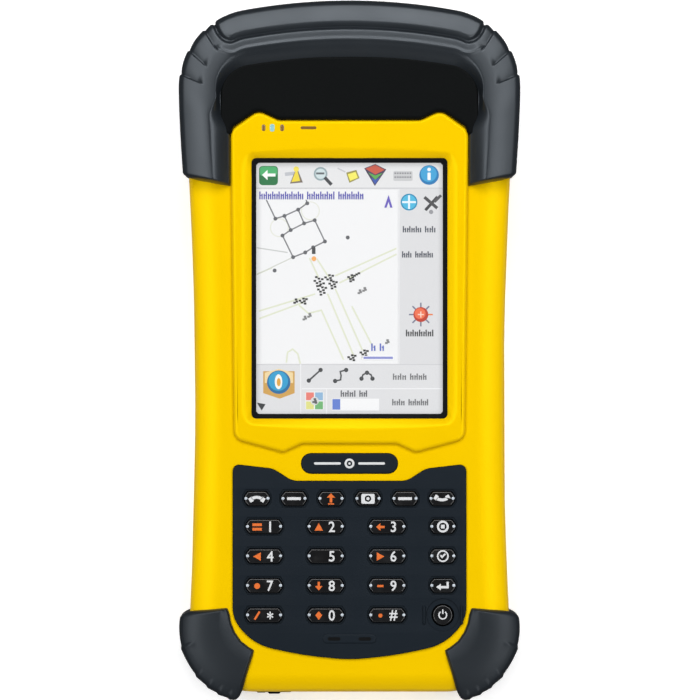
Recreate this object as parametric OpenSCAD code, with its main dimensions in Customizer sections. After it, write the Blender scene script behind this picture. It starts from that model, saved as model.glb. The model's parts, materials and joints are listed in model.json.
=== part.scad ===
// Rugged handheld data collector: portrait touch display, keypad, corner bumpers and antenna cap.
// Lies on its back: +Z leaves the display, +Y points to the antenna end, +X to the user's right.

/* [Body] */
// Overall length over the bumpers
length = 178; // [177:0.5:179]
// Half width of the casing at its waist
waist = 39.3; // [38.8:0.1:39.6]
// How much wider the casing gets a span away from the waist
flare = 1.3; // [1:0.1:1.4]
// Overall thickness over the top bumper
thickness = 30; // [29.6:0.1:31]
// How far the corner guards stand proud of the casing
proud = 2.5; // [2.3:0.1:2.6]

/* [Display] */
// Half width of the window in the bezel
window_x = 24.9; // [24.5:0.1:25.2]
// Half width of the picture area
picture_x = 23.65; // [23:0.05:24]
// Bottom edge of the window
window_low = -17.2; // [-17.6:0.1:-16.8]
// Top edge of the window
window_high = 48.7; // [48:0.1:49]

/* [Keys] */
// Width of a number key
wide_key = 9.2; // [8.5:0.1:9.6]
// Width of a function key
small_key = 6.4; // [6:0.1:6.8]
// Height of every oblong key
key_high = 3.7; // [3.3:0.1:4]
// Distance between rows of number keys
row_pitch = 7.5; // [7.2:0.1:7.7]
// Distance between function keys
small_pitch = 9.4; // [9.2:0.1:9.6]

/* [Battery] */
// Half width of the pack
pack_x = 26; // [24:0.5:26]
// Thickness of the pack
pack_z = 6.7; // [6:0.1:6.8]

/* [Hidden] */
$fn = 48;

gap = 0.1;                            // assembly gap between fixed neighbours
back = 1.2;                           // back face of the casing
split = 18;                           // parting plane of the two casing halves
face = 25.2;                          // front face of the casing
bezel_top = 26.5;                     // front face of the raised display surround
waist_y = -14;                        // where the casing is narrowest
flare_span = 52;                      // distance over which it gains the flare
shoulder = 40.9;                      // half width under the antenna cap
wall = 2.1;                           // casing wall

corner_low = 24.5;                    // x of the bottom corner arcs' centres
tip_rise = 0.3;                       // the guards are cut off this far above their arcs' lowest point
low_y = -length / 2 - tip_rise + proud + half_width(-70.5) - corner_low;
corner_high = 23.4;                   // x of the top corner arcs' centres
cap_corner = 20;                      // radius of the cap's corners
cap_sweep = 150;                      // radius of the cap's top edge
cap_skin = 2.5;                       // rubber thickness around the antenna end
sweep_y = length / 2 - cap_sweep;     // centre of the cap's top edge
tangent = acos(corner_high / (cap_sweep - cap_corner));
high_y = sweep_y + (cap_sweep - cap_corner) * sin(tangent);

// Half width of the casing at height y along its length.
function half_width(y) = min(waist + flare * pow((y - waist_y) / flare_span, 2), shoulder);

// Points on an arc about c from angle a to angle b.
function arc(c, r, a, b, n) = [for (k = [0:n]) c + r * [cos(a + (b - a) * k / n), sin(a + (b - a) * k / n)]];
function flip(pts) = [for (k = [len(pts) - 1:-1:0]) [-pts[k].x, pts[k].y]];
function unit(v) = v / norm(v);

// Outline with each corner [x, y, radius] replaced by a tangent arc.
function corner(a, b, c, r, n) =
    let (u = unit(a - b), v = unit(c - b), half = acos(u * v) / 2)
    let (m = b + unit(u + v) * r / sin(half), p = b + u * r / tan(half) - m, q = b + v * r / tan(half) - m)
    let (s = atan2(p.y, p.x), t = (atan2(q.y, q.x) - s + 540) % 360 - 180)
    arc(m, r, s, s + t, n);
function rounded(pts, n = 5) =
    let (k = len(pts), xy = [for (p = pts) [p.x, p.y]])
    [for (i = [0:k - 1]) each pts[i].z == 0 ? [xy[i]] : corner(xy[(i + k - 1) % k], xy[i], xy[(i + 1) % k], pts[i].z, n)];
function box_outline(x0, x1, y0, y1, r) = rounded([[x1, y0, r], [x1, y1, r], [x0, y1, r], [x0, y0, r]]);

// Counter-clockwise outline moved outwards by d.
function normal(a, b) = let (u = unit(b - a)) [u.y, -u.x];
function grown(pts, d) =
    let (k = len(pts))
    [for (i = [0:k - 1])
        let (m = normal(pts[(i + k - 1) % k], pts[i]), n = normal(pts[i], pts[(i + 1) % k]))
        pts[i] + d * (m + n) / (1 + m * n)];

// Right side of the casing from its bottom corner to its top edge, then mirrored to close it.
casing_side = concat(
    arc([corner_low, low_y], half_width(-70.5) - corner_low, -90, -9, 8),
    [for (y = [-66:12:54]) [half_width(y), y]],
    arc([corner_high, high_y], cap_corner - cap_skin, 0, tangent, 8),
    arc([0, sweep_y], cap_sweep - cap_skin, tangent + 4, 90 - 2, 1)
);
casing = concat(casing_side, flip(casing_side));

// Outer outline of the rubber at the antenna end.
cap_side = concat(
    [[42.2, 40], [42.7, 50]],
    arc([corner_high, high_y], cap_corner, 0, tangent, 10),
    arc([0, sweep_y], cap_sweep, tangent + 4, 90 - 2, 1)
);
cap_outline = concat(cap_side, flip(cap_side));

// Raised surround of the display, the keypad field and the antenna cap, each as its right half mirrored.
function both(pts) = concat(pts, [for (k = [len(pts) - 1:-1:0]) [-pts[k].x, pts[k].y, pts[k].z]]);
surround = rounded(both([[12, -23.8, 2], [16.8, -26, 2], [29.4, -22.6, 3], [30.3, 56, 3], [23.2, 61, 2], [18, 58.6, 2]]));
keypad_field = rounded(both([[2, -78.3, 0], [11, -77.5, 20], [24.5, -74.6, 9], [29.6, -68, 8], [29.6, -28.7, 1.5],
    [19.4, -29.9, 3], [14.6, -33, 3]]), 6);
cap_field = rounded(both([[18, 58.75, 2], [23.2, 61.2, 2], [31.4, 55.6, 2], [31.8, 71, 7], [12, 73.6, 60]]), 6);
band_inside = rounded(both([[30.5, 38, 0], [30.5, 56, 3], [31.9, 57, 1], [31.9, 71.1, 7], [12, 73.7, 60]]), 6);
badge = box_outline(-12.25, 12.25, -31.25, -26.15, 2.5);

// Casing profile: [height, inset] from the back to the parting plane and on to the front.
// Both halves round off along a quarter of an ellipse.
rear_profile = concat([for (a = [0:10:90]) [13 - (13 - back) * cos(a), 5 * (1 - sin(a))]], [[split, 0]]);
rear_hollow = [[3.3, 6], [4.6, 4.1], [6.8, 2.9], [10, wall + 0.1], [split + 0.1, wall]];
front_profile = [for (a = [0:10:90]) [split + (face - split) * sin(a), 4.6 * (1 - cos(a))]];
front_hollow = [[split - 0.1, wall], [20.5, wall + 0.2], [22, 3.1], [23.2, 4.6]];
cap_profile = [[0, 4.6], [0.6, 3], [1.8, 1.5], [4.5, 0.4], [9, 0], [20, 0], [25, 0.5], [27.8, 1.8], [29.2, 3.4],
    [thickness, 5.6]];
bumper_profile = [[0, 2], [0.6, 0.6], [1.6, -0.6], [4, 0.5 - proud], [8, -proud], [20, -proud], [23.6, 0.5 - proud],
    [25.4, -0.5], [26.4, 1.4], [26.8, 3]];

// Key places: [x, y, width]
row_y = -44.7;
column_x = [-21.7, -6.05, 9.6, 23.7];
small_y = -37.6;
key_drop = 0.6;

door_low = -66;
door_high = 16;
door_x = 28.5;
bay_low = -57;
bay_high = 7;
fastener_y = [11.8, -61.9];
stylus_x = 30;
stylus_z = 6.6;
lens_y = 53;
screw_places = [[31.5, -58], [-31.5, -58], [31.5, -16], [-31.5, -16], [25.5, 67], [-25.5, 67]];
port_z = 10.8;
usb_y = 32;
jack_y = 20.5;
charge_x = -19.4;
charge_z = 10;
rocker_pivot = [36.2, 29.2];
cover_hinge = [-39.2, 6.7];
charge_hinge = [-86.1, 6.9];

// Solid through rings of points, one ring a level.
module loft(outline, levels) {
    k = len(outline);
    m = len(levels);
    points = [for (l = levels) each [for (p = grown(outline, -l[1])) [p.x, p.y, l[0]]]];
    sides = [for (j = [0:m - 2], i = [0:k - 1]) each
        [[j * k + i, j * k + (i + 1) % k, (j + 1) * k + (i + 1) % k],
         [j * k + i, (j + 1) * k + (i + 1) % k, (j + 1) * k + i]]];
    low = [for (i = [k - 1:-1:0]) i];
    high = [for (i = [0:k - 1]) (m - 1) * k + i];
    polyhedron(points, [for (f = concat([low], sides, [high])) [for (i = [len(f) - 1:-1:0]) f[i]]]);
}
module prism(outline, low, high) translate([0, 0, low]) linear_extrude(high - low) polygon(outline);
module block(low, high) translate(low) cube(high - low);
module post(x, y, low, high, r) translate([x, y, low]) cylinder(h = high - low, r = r);
module along_y(x, z, low, high, r) translate([x, low, z]) rotate([-90, 0, 0]) cylinder(h = high - low, r = r);
module along_x(y, z, low, high, r) translate([low, y, z]) rotate([0, 90, 0]) cylinder(h = high - low, r = r);

module rear_form() loft(casing, rear_profile);
module whole_form(room) {
    levels = concat(rear_profile, [for (i = [1:len(front_profile) - 1]) front_profile[i]]);
    last = len(levels) - 1;
    loft(casing, [for (i = [0:last]) [levels[i][0] + (i == 0 ? -room : i == last ? room : 0), levels[i][1] - room]]);
}

module front_housing() color("gold") difference() {
    union() {
        difference() {
            loft(casing, front_profile);
            loft(casing, front_hollow);
        }
        for (p = screw_places) post(p.x, p.y, split, 23.4, 2.5);
        for (x = [-32, 32], y = [-40, -48]) post(x, y, 21, 23.4, 1.4);
    }
    prism(box_outline(-26.2, 26.2, window_low - 1.4, window_high + 1.5, 1.5), 22, 26);
    prism(grown(keypad_field, gap), 22, 26);
    prism(grown(badge, gap), face - 0.5, 26);
    prism(box_outline(-13, 13, 61.2, 72.5, 1), 22, 26);
    for (l = indicators) indicator_hole(l, 22, 26);
    block([-12.5, 56.2, 22], [-8.3, 57, 26]);
    for (p = screw_places) post(p.x, p.y, split - 1, 22.6, 1.05);
}

module rear_housing() color("goldenrod") difference() {
    union() {
        difference() {
            rear_form();
            loft(casing, rear_hollow);
        }
        prism(box_outline(-30.4, 30.4, door_low - 1.9, door_high + 1.9, 3), 2.2, 5);
        block([-pack_x - 1.9, bay_low - 1.6, 3], [pack_x + 1.9, bay_high + 1.6, 12]);
        for (y = fastener_y) post(0, y, 3, 10, 3.6);
        for (p = screw_places) post(p.x, p.y, 2.4, split, 2.5);
        along_y(stylus_x, stylus_z, -12, 79, 3.4);
        block([-38.9, 12.4, 5], [-33.4, 41, 17.6]);
        block([-26, -85.5, 4.6], [-12.8, -81, 14]);
    }
    prism(box_outline(-door_x, door_x, door_low, door_high, 3), 0, 3.3);
    difference() {
        prism(box_outline(-27.9, 27.9, door_low + 0.6, door_high - 0.6, 2.4), 3, 3.9);
        prism(box_outline(-27.1, 27.1, door_low + 1.4, door_high - 1.4, 1.6), 2, 5);
    }
    block([-pack_x - 0.3, bay_low, 0], [pack_x + 0.3, bay_high, 10.6]);
    for (y = fastener_y) post(0, y, 0, 9, 1.7);
    for (p = screw_places) {
        post(p.x, p.y, 0, split + 1, 1.2);
        post(p.x, p.y, 0, 3.1, 2.3);
    }
    along_y(stylus_x, stylus_z, -10, 95, 2.6);
    side_pocket();
    along_x(jack_y, port_z, -40, -32, 3.1);
    block([-40, usb_y - 4.1, port_z - 2.1], [-32, usb_y + 4.1, port_z + 2.1]);
    charge_pocket();
    along_y(charge_x, charge_z, -88, -80, 2.9);
    block([36, 20.2, 9], [45, 38.2, 13.4]);
    block([36, 0, 9], [45, 10.6, 13.4]);
    post(-13, lens_y, 0, 5, 4.2);
    post(0, lens_y, 0, 5, 2.3);
    for (i = [-2:2]) block([14 + i * 2.2 - 0.5, lens_y - 4.5, 0], [14 + i * 2.2 + 0.5, lens_y + 4.5, 5]);
    difference() {
        prism(grown(casing, -0.6), split - 0.6, split + 1);
        prism(grown(casing, -1.4), split - 1, split + 2);
    }
}

// Pocket in the left wall behind the port cover, and in the end wall behind the charging cover.
module side_pocket() block([-46, 13.8, 5.5], [-37.4, 40.2, 16.2]);
module charge_pocket() block([-24.6, -92, 6.2], [-14.2, -84.6, 13.2]);

module display_bezel() color("gold") difference() {
    prism(surround, face, bezel_top);
    hull() {
        prism(box_outline(-window_x, window_x, window_low, window_high, 1.2), face - 1, face + 0.01);
        prism(box_outline(-27.7, 27.7, window_low - 3, window_high + 3, 3), bezel_top, bezel_top + 1);
    }
    for (l = indicators) indicator_hole(l, 24, 28);
    block([-12.5, 56.2, 24], [-8.3, 57, 28]);
}

// Indicator windows: [x, width, height]
indicators = [[-21.8, 1.1, 1.9], [-19.3, 1.5, 2.2], [-17.1, 1.2, 1.9]];
module indicator_hole(l, low, high)
    prism(box_outline(l[0] - l[1] / 2 - 0.05, l[0] + l[1] / 2 + 0.05, 56.55 - l[2] / 2 - 0.05, 56.55 + l[2] / 2 + 0.05, 0.4),
        low, high);
module indicator_lenses() color("lightblue") for (l = indicators)
    prism(box_outline(l[0] - l[1] / 2, l[0] + l[1] / 2, 56.55 - l[2] / 2, 56.55 + l[2] / 2, 0.35), 20, bezel_top + 0.1);

module antenna_cap() color([0.07, 0.08, 0.09]) difference() {
    prism(cap_field, face, 27.4);
    prism(box_outline(-22, 22, 62, 71, 2), 24, 26);
}

// Notches cut into rubber corners, fanned about a corner's centre.
module notches(c, radius, angles) for (a = angles)
    post(c.x + radius * cos(a), c.y + radius * sin(a), -1, thickness + 1, 1.1);

module top_bumper() color([0.2, 0.22, 0.25]) difference() {
    intersection() {
        loft(cap_outline, cap_profile);
        prism([[0, 70], [-31, 41.2], [-44, 44.8], [-50, 45], [-50, 95], [50, 95], [50, 45], [44, 44.8], [31, 41.2]], -1, 31);
    }
    whole_form(gap);
    prism(band_inside, face, 31);
    prism(grown(band_inside, -1), -1, back);
    notches([corner_high, high_y], cap_corner + 0.5, [8.5, 27, 48]);
    notches([-corner_high, high_y], cap_corner + 0.5, [171.5, 153, 132]);
    along_y(stylus_x, stylus_z, 70, 95, 3);
}

// One bottom corner guard: s is 1 on the right and -1 on the left.
guard_region = [[50, -67.4], [41, -66.2], [37, -66.7], [32.6, -65.5], [30.9, -66], [30.3, -69.2], [28.6, -72.6], [24.3, -76.5],
    [25.3, -80.5], [28.2, -95], [50, -95]];
module bottom_bumper(s) color([0.16, 0.18, 0.2]) difference() {
    intersection() {
        loft(casing, bumper_profile);
        prism([for (p = (s > 0 ? [for (k = [10:-1:0]) guard_region[k]] : guard_region)) [s * p.x, p.y]], -1, 31);
    }
    whole_form(gap);
    notches([s * corner_low, low_y], 18.9, [for (a = [-14, -30, -46, -62]) s > 0 ? a : 180 - a]);
}
module bottom_bumper_left() bottom_bumper(-1);
module bottom_bumper_right() bottom_bumper(1);

module badge_plate() color([0.14, 0.17, 0.21]) prism(badge, face - 0.5, face + 0.4);

module touch_glass() color([0.75, 0.8, 0.85, 0.4])
    prism(box_outline(-26, 26, window_low - 1.2, window_high + 1.3, 1.2), 23.3, 24.5);
module display_gasket() color([0.03, 0.03, 0.03]) difference() {
    prism(box_outline(-26, 26, window_low - 1.2, window_high + 1.3, 1.2), 24.5, face);
    prism(box_outline(-picture_x, picture_x, window_low + 1.1, window_high - 1, 0.8), 24, 26);
}
module lcd_module() color([0.85, 0.86, 0.88]) {
    prism(box_outline(-26, 26, window_low - 1.2, window_high + 1.3, 1.2), 19.2, 23.3);
    block([-8, window_low - 3.4, 19.2], [8, window_low - 1.2, 19.6]);
}

// Oblong key outline with blunt pointed ends, grown by d.
function key_outline(w, h, d) = grown([[w / 2, -h / 5], [w / 2, h / 5], [w / 2 - 0.9, h / 2], [0.9 - w / 2, h / 2],
    [-w / 2, h / 5], [-w / 2, -h / 5], [0.9 - w / 2, -h / 2], [w / 2 - 0.9, -h / 2]], d);
module key(x, y, w) color([0.03, 0.03, 0.035]) translate([x, y, 0]) {
    prism(key_outline(w, key_high, 0.5), 22.6, 23.2);
    loft(key_outline(w, key_high, 0), [[23.2, 0], [26.1, 0], [26.8, 0.65]]);
}
module key_hole(x, y, w) translate([x, y, 0]) prism(key_outline(w, key_high, 0.3), 20, 28);
power_x = column_x[3];
power_y = row_y - 3 * row_pitch;
function small_place(i) = [-23.5 + i * small_pitch, small_y, small_key];
function grid_place(row, column) = [column_x[column], row_y - row * row_pitch, column == 3 ? small_key : wide_key];

module key_send() key_at(small_place(0));
module key_soft_left() key_at(small_place(1));
module key_fn() key_at(small_place(2));
module key_camera() key_at(small_place(3));
module key_soft_right() key_at(small_place(4));
module key_end() key_at(small_place(5));
module key_1() key_at(grid_place(0, 0));
module key_2() key_at(grid_place(0, 1));
module key_3() key_at(grid_place(0, 2));
module key_start() key_at(grid_place(0, 3));
module key_4() key_at(grid_place(1, 0));
module key_5() key_at(grid_place(1, 1));
module key_6() key_at(grid_place(1, 2));
module key_ok() key_at(grid_place(1, 3));
module key_7() key_at(grid_place(2, 0));
module key_8() key_at(grid_place(2, 1));
module key_9() key_at(grid_place(2, 2));
module key_enter() key_at(grid_place(2, 3));
module key_star() key_at(grid_place(3, 0));
module key_0() key_at(grid_place(3, 1));
module key_hash() key_at(grid_place(3, 2));
module key_at(p) key(p[0], p[1], p[2]);
module key_power() color([0.03, 0.03, 0.035]) {
    post(power_x, power_y, 22.6, 23.2, 3.1);
    post(power_x, power_y, 23.2, 26, 2.6);
}

oblong_keys = concat([for (i = [0:5]) small_place(i)],
    [for (row = [0:3], column = [0:3]) if (row < 3 || column < 3) grid_place(row, column)]);

module keypad_panel() color([0.14, 0.16, 0.19]) difference() {
    union() {
        prism(keypad_field, 23.4, 25.6);
        prism(box_outline(-6.8, 6.8, -74.4, -72, 1), 25.6, 25.9);
    }
    for (p = oblong_keys) key_hole(p[0], p[1], p[2]);
    post(power_x, power_y, 20, 28, 2.9);
    post(power_x, power_y, 25, 28, 4.2);
    for (x = [-4.2, 4.2]) block([x - 1.8, -73.6, 25.2], [x + 1.8, -72.8, 27]);
    post(-4.2, -73.2, 22, 27, 0.5);
}
module keypad_mat() color([0.25, 0.25, 0.27]) {
    prism(box_outline(-28.5, 28.5, -72, -34, 2), 20.6, 21.5);
    for (p = oblong_keys) post(p[0], p[1], 21.5, 21.9, 1.6);
    post(power_x, power_y, 21.5, 21.9, 1.6);
}
module dome_sheet() color("silver") {
    prism(box_outline(-28.5, 28.5, -72, -34, 2), 20.3, 20.6);
}
module keypad_board() color("darkgreen") difference() {
    union() {
        prism(box_outline(-33.6, 33.6, -73, -34, 2), 19.2, 20.3);
        prism(box_outline(-6, 0, -77, -71, 1), 19.2, 20.3);
        post(-4.2, -74, 20.3, 21.8, 2);
    }
    for (p = screw_places) post(p.x, p.y, 18, 22, 2.9);
}

module main_board() color("darkgreen") {
    difference() {
        prism(rounded([[24, -83, 8], [34.5, -74, 8], [34.5, 66, 14], [24, 79, 8], [-24, 79, 8], [-34.5, 66, 14], [-34.5, 42, 0],
            [-33, 42, 0], [-33, 11.6, 0], [-34.5, 11.6, 0], [-34.5, -74, 8], [-24, -83, 8]]), 13, 14.2);
        for (p = screw_places) post(p.x, p.y, 12, 15, 2.9);
        block([-26.4, -90, 12], [-12.4, -80, 15]);
    }
    block([-22, 12, 14.2], [4, 44, 16.8]);
    block([8, 14, 14.2], [27, 40, 16.4]);
    block([-20, -44, 14.2], [12, -12, 16.4]);
    block([-9, 9.2, 10.2], [9, 11, 13]);
}

module gps_antenna() color([0.8, 0.75, 0.62]) {
    block([-9, 60.5, 14.2], [9, 74.5, 20.5]);
    block([-9, 61.6, 20.5], [9, 72.2, 24.9]);
}
module earpiece() color([0.3, 0.3, 0.32]) prism(box_outline(-14.4, -6.4, 53.6, 59.6, 2), 20.4, 23.2);

module battery_pack() color([0.12, 0.12, 0.13])
    prism(box_outline(-pack_x, pack_x, bay_low + 0.3, bay_high - 0.3, 1.5), 3.6, 3.6 + pack_z);
module battery_door() color([0.16, 0.18, 0.2]) difference() {
    prism(box_outline(0.3 - door_x, door_x - 0.3, door_low + 0.3, door_high - 0.3, 2.7), back, 3.2);
    for (y = fastener_y) {
        post(0, y, 0, 4, 1.8);
        post(0, y, 0, 2.4, 4.3);
    }
}
module door_seal() color([0.1, 0.1, 0.1]) difference() {
    prism(box_outline(-27.9, 27.9, door_low + 0.6, door_high - 0.6, 2.4), 3.3, 3.9);
    prism(box_outline(-27.1, 27.1, door_low + 1.4, door_high - 1.4, 1.6), 3, 5);
}
module door_fastener(y) color("gray") difference() {
    union() {
        post(0, y, 1.3, 2.3, 4);
        post(0, y, 2.3, 8.4, 1.5);
    }
    block([-3, y - 0.6, 0], [3, y + 0.6, 1.9]);
}
module door_fastener_upper() door_fastener(fastener_y[0]);
module door_fastener_lower() door_fastener(fastener_y[1]);

module camera_module() color([0.2, 0.2, 0.22]) {
    post(-13, lens_y, 2.9, 6, 4);
    block([-18, lens_y - 5, 6], [-8, lens_y + 5, 9]);
}
module camera_window() color([0.1, 0.12, 0.18]) post(-13, lens_y, 1.5, 2.9, 4.1);
module flash_lens() color("white") post(0, lens_y, 1.3, 4.4, 2.2);
module speaker() color([0.25, 0.25, 0.27]) post(14, lens_y, 3.4, 7.4, 7);

module housing_seal() color([0.1, 0.1, 0.1]) difference() {
    prism(grown(casing, -0.6), split - 0.6, split);
    prism(grown(casing, -1.4), split - 1, split + 1);
}
module housing_screws() color("dimgray") for (p = screw_places) difference() {
    union() {
        post(p.x, p.y, 1.6, 3.1, 2);
        post(p.x, p.y, 3.1, 22.4, 1);
    }
    translate([p.x, p.y, 1]) cylinder(h = 1.6, r = 1, $fn = 6);
}

module usb_socket() color("silver") difference() {
    block([-37.4, usb_y - 3.9, port_z - 1.9], [-30, usb_y + 3.9, port_z + 1.9]);
    block([-38, usb_y - 3.5, port_z - 1.5], [-31, usb_y + 3.5, port_z + 1.5]);
}
module headset_jack() color([0.1, 0.1, 0.1]) difference() {
    union() {
        along_x(jack_y, port_z, -37.4, -33.4, 3);
        block([-33.4, jack_y - 3, port_z - 3], [-22.8, jack_y + 3, 13]);
    }
    along_x(jack_y, port_z, -38, -23.4, 1.8);
}
module side_port_cover() color([0.1, 0.11, 0.12]) intersection() {
    rear_form();
    union() {
        block([-46, 14.1, cover_hinge.y], [-37.8, 39.9, 15.9]);
        along_y(cover_hinge.x, cover_hinge.y, 14.1, 39.9, 0.4);
    }
}
module charge_socket() color("silver") difference() {
    along_y(charge_x, charge_z, -84.6, -76, 2.8);
    along_y(charge_x, charge_z, -85, -77, 1.9);
}
module charge_cover() color([0.1, 0.11, 0.12]) {
    block([-24.3, -86.4, charge_hinge.y], [-14.5, -84.9, 12.9]);
    prism(box_outline(-23.6, -15.2, -87.6, -86.4, 0.4), 8, 12);
    along_x(charge_hinge.x, charge_hinge.y, -24.3, -14.5, 0.3);
}
module stylus() color([0.12, 0.12, 0.13]) {
    along_y(stylus_x, stylus_z, -4, 82, 2.3);
    along_y(stylus_x, stylus_z, 82, 85.2, 2.5);
    translate([stylus_x, -4, stylus_z]) rotate([90, 0, 0]) cylinder(h = 4.6, r1 = 2.3, r2 = 0.6);
}
module volume_rocker() color([0.1, 0.11, 0.12]) {
    intersection() {
        rear_form();
        block([36.6, 20.6, 9.4], [45, 37.8, 13]);
    }
    block([35.8, 20.9, 8.8], [36.6, 37.5, 13.6]);
    post(rocker_pivot.x, rocker_pivot.y, 8.2, 14.4, 0.6);
}
module side_button() color([0.1, 0.11, 0.12]) {
    intersection() {
        rear_form();
        block([36.4, 0.4, 9.4], [45, 10.2, 13]);
    }
    block([35.7, -0.6, 8.8], [36.4, 11.2, 13.6]);
}

front_housing();
rear_housing();
display_bezel();
antenna_cap();
top_bumper();
bottom_bumper_left();
bottom_bumper_right();
badge_plate();
touch_glass();
display_gasket();
lcd_module();
keypad_panel();
keypad_mat();
dome_sheet();
keypad_board();
main_board();
gps_antenna();
indicator_lenses();
earpiece();
battery_pack();
battery_door();
door_seal();
door_fastener_upper();
door_fastener_lower();
camera_module();
camera_window();
flash_lens();
speaker();
housing_seal();
housing_screws();
usb_socket();
headset_jack();
side_port_cover();
charge_socket();
charge_cover();
stylus();
volume_rocker();
side_button();
key_send();
key_soft_left();
key_fn();
key_camera();
key_soft_right();
key_end();
key_1();
key_2();
key_3();
key_start();
key_4();
key_5();
key_6();
key_ok();
key_7();
key_8();
key_9();
key_enter();
key_star();
key_0();
key_hash();
key_power();
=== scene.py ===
"""The looks of a rugged handheld data collector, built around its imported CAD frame.

The frame lies on its back: +Z leaves the display, +Y points to the antenna end, +X to the user's right.
Shapes are worked out in millimetres and become metres where a mesh is made.
"""

import json
import math
from contextlib import contextmanager

import bmesh
import bpy
import numpy as np

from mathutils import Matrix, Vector

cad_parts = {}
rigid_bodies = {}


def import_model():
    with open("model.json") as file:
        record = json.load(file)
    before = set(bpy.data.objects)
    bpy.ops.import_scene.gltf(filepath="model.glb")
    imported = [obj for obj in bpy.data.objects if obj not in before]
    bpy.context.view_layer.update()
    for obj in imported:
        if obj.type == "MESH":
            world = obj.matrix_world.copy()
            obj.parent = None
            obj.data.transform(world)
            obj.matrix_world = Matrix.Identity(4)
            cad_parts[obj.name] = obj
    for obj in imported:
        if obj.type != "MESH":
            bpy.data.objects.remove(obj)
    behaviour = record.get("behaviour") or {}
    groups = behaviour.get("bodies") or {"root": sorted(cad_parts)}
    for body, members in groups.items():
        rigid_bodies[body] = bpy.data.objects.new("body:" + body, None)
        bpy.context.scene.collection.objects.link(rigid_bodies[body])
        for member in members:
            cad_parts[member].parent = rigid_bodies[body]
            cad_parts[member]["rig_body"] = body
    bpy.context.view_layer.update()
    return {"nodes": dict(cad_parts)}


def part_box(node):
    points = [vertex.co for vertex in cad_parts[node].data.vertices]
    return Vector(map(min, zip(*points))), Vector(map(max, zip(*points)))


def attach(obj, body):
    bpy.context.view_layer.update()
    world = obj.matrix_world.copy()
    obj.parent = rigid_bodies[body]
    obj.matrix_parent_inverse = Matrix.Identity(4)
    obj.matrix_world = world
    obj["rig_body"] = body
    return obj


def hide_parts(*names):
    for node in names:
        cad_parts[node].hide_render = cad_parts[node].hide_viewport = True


bl_info = {
    "name": "Data collector",
    "version": (1, 0, 0),
    "blender": (4, 5, 0),
    "location": "View3D > Sidebar > Collector",
    "description": "Builds the looks of a rugged handheld data collector around its frame",
    "category": "Add Mesh",
}

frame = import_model()
MM = 0.001
ROOT = "casing"


def box(node):
    """A CAD node's lowest and highest corner, in millimetres."""
    low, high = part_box(node)
    return np.array(low) / MM, np.array(high) / MM


# ---------------------------------------------------------------- sizes and colours


def length(name, description, default):
    """A size in millimetres that a user may change."""
    return bpy.props.FloatProperty(name=name, description=description, default=default, min=0.0)


def colour(name, description, default):
    """A linear colour that a user may change."""
    return bpy.props.FloatVectorProperty(name=name, description=description, default=default, subtype="COLOR",
                                         size=3, min=0.0, max=1.0)


class CasingSizes(bpy.types.PropertyGroup):
    """What the casing's own shape is driven by."""

    waist: length("Waist", "Half the casing's width at its narrowest, in mm", 39.3)
    flare: length("Flare", "How much wider the casing gets a span away from its waist, in mm", 1.3)
    shoulder: length("Shoulder", "Half the casing's width under the antenna cap, in mm", 40.9)
    low_corner: length("Low corner", "Distance of the bottom corners' centres from the middle, in mm", 24.5)
    high_corner: length("High corner", "Distance of the top corners' centres from the middle, in mm", 23.4)
    cap_radius: length("Cap radius", "Radius of the antenna end's corners, in mm", 20.0)
    sweep: length("Sweep", "Radius of the antenna end's top edge, in mm", 150.0)
    rail_inset: length("Rail inset", "How far the front edge's crown reaches inwards, in mm", 7.8)
    rail_drop: length("Rail drop", "How far the crown falls before its edge, in mm", 2.2)
    cap_skin: length("Cap skin", "Rubber thickness round the antenna end, in mm", 2.5)
    guard_proud: length("Guard proud", "How far the corner guards stand proud, in mm", 2.5)


class KeySizes(bpy.types.PropertyGroup):
    """Sizes of the keys and of their printed signs."""

    chamfer: length("Chamfer", "Width of a key's chamfer, in mm", 0.42)
    sign_height: length("Sign height", "Height of a printed numeral, in mm", 2.7)
    number_shift: length("Number shift", "How far right of a wide key's centre its numeral is", 1.55)
    orange_shift: length("Orange shift", "How far left of a wide key's centre its orange sign is", 1.75)
    # the pale dots at a key's ends are painted highlights, where the ends' chamfers catch the side lights
    bead: length("Painted highlight dot", "Radius of the painted highlight dot at each end of a key, in mm", 0.42)


class Finishes(bpy.types.PropertyGroup):
    """Colours of the main finishes."""

    yellow: colour("Yellow", "Moulded casing", (0.71, 0.445, 0.0))
    rubber: colour("Rubber", "Bumpers and corner guards", (0.009, 0.0115, 0.0145))
    cap: colour("Cap", "Antenna cap", (0.0022, 0.0028, 0.0030))
    slate: colour("Slate", "Keypad panel and badge", (0.0085, 0.0125, 0.0175))
    key: colour("Key", "Key caps", (0.0035, 0.0036, 0.0042))
    white_ink: colour("White ink", "Printed numerals", (0.56, 0.57, 0.58))
    orange_ink: colour("Orange ink", "Printed second signs", (0.62, 0.125, 0.015))


GROUPS = {"collector_casing": CasingSizes, "collector_keys": KeySizes, "collector_finishes": Finishes}


def casing_sizes():
    """The casing's sizes, as the user left them."""
    return bpy.context.scene.collector_casing


def key_sizes():
    """The keys' sizes, as the user left them."""
    return bpy.context.scene.collector_keys


def finish_of(name):
    """One of the main colours, as the user left it."""
    return tuple(getattr(bpy.context.scene.collector_finishes, name))


# ---------------------------------------------------------------- outlines


def arc(centre, radius, start, end, count):
    """Points on a circle about centre, from one angle in degrees to another."""
    angle = np.radians(np.linspace(start, end, count))
    return np.array(centre) + radius * np.stack([np.cos(angle), np.sin(angle)], axis=1)


def disc(radius, x=0.0, y=0.0, count=40):
    """A circle's outline."""
    return arc((x, y), radius, 0, 360 - 360 / count, count)


def mirrored(right):
    """The right half of an outline, followed by its mirror image in reverse."""
    return np.concatenate([right, right[::-1] * (-1, 1)])


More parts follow.
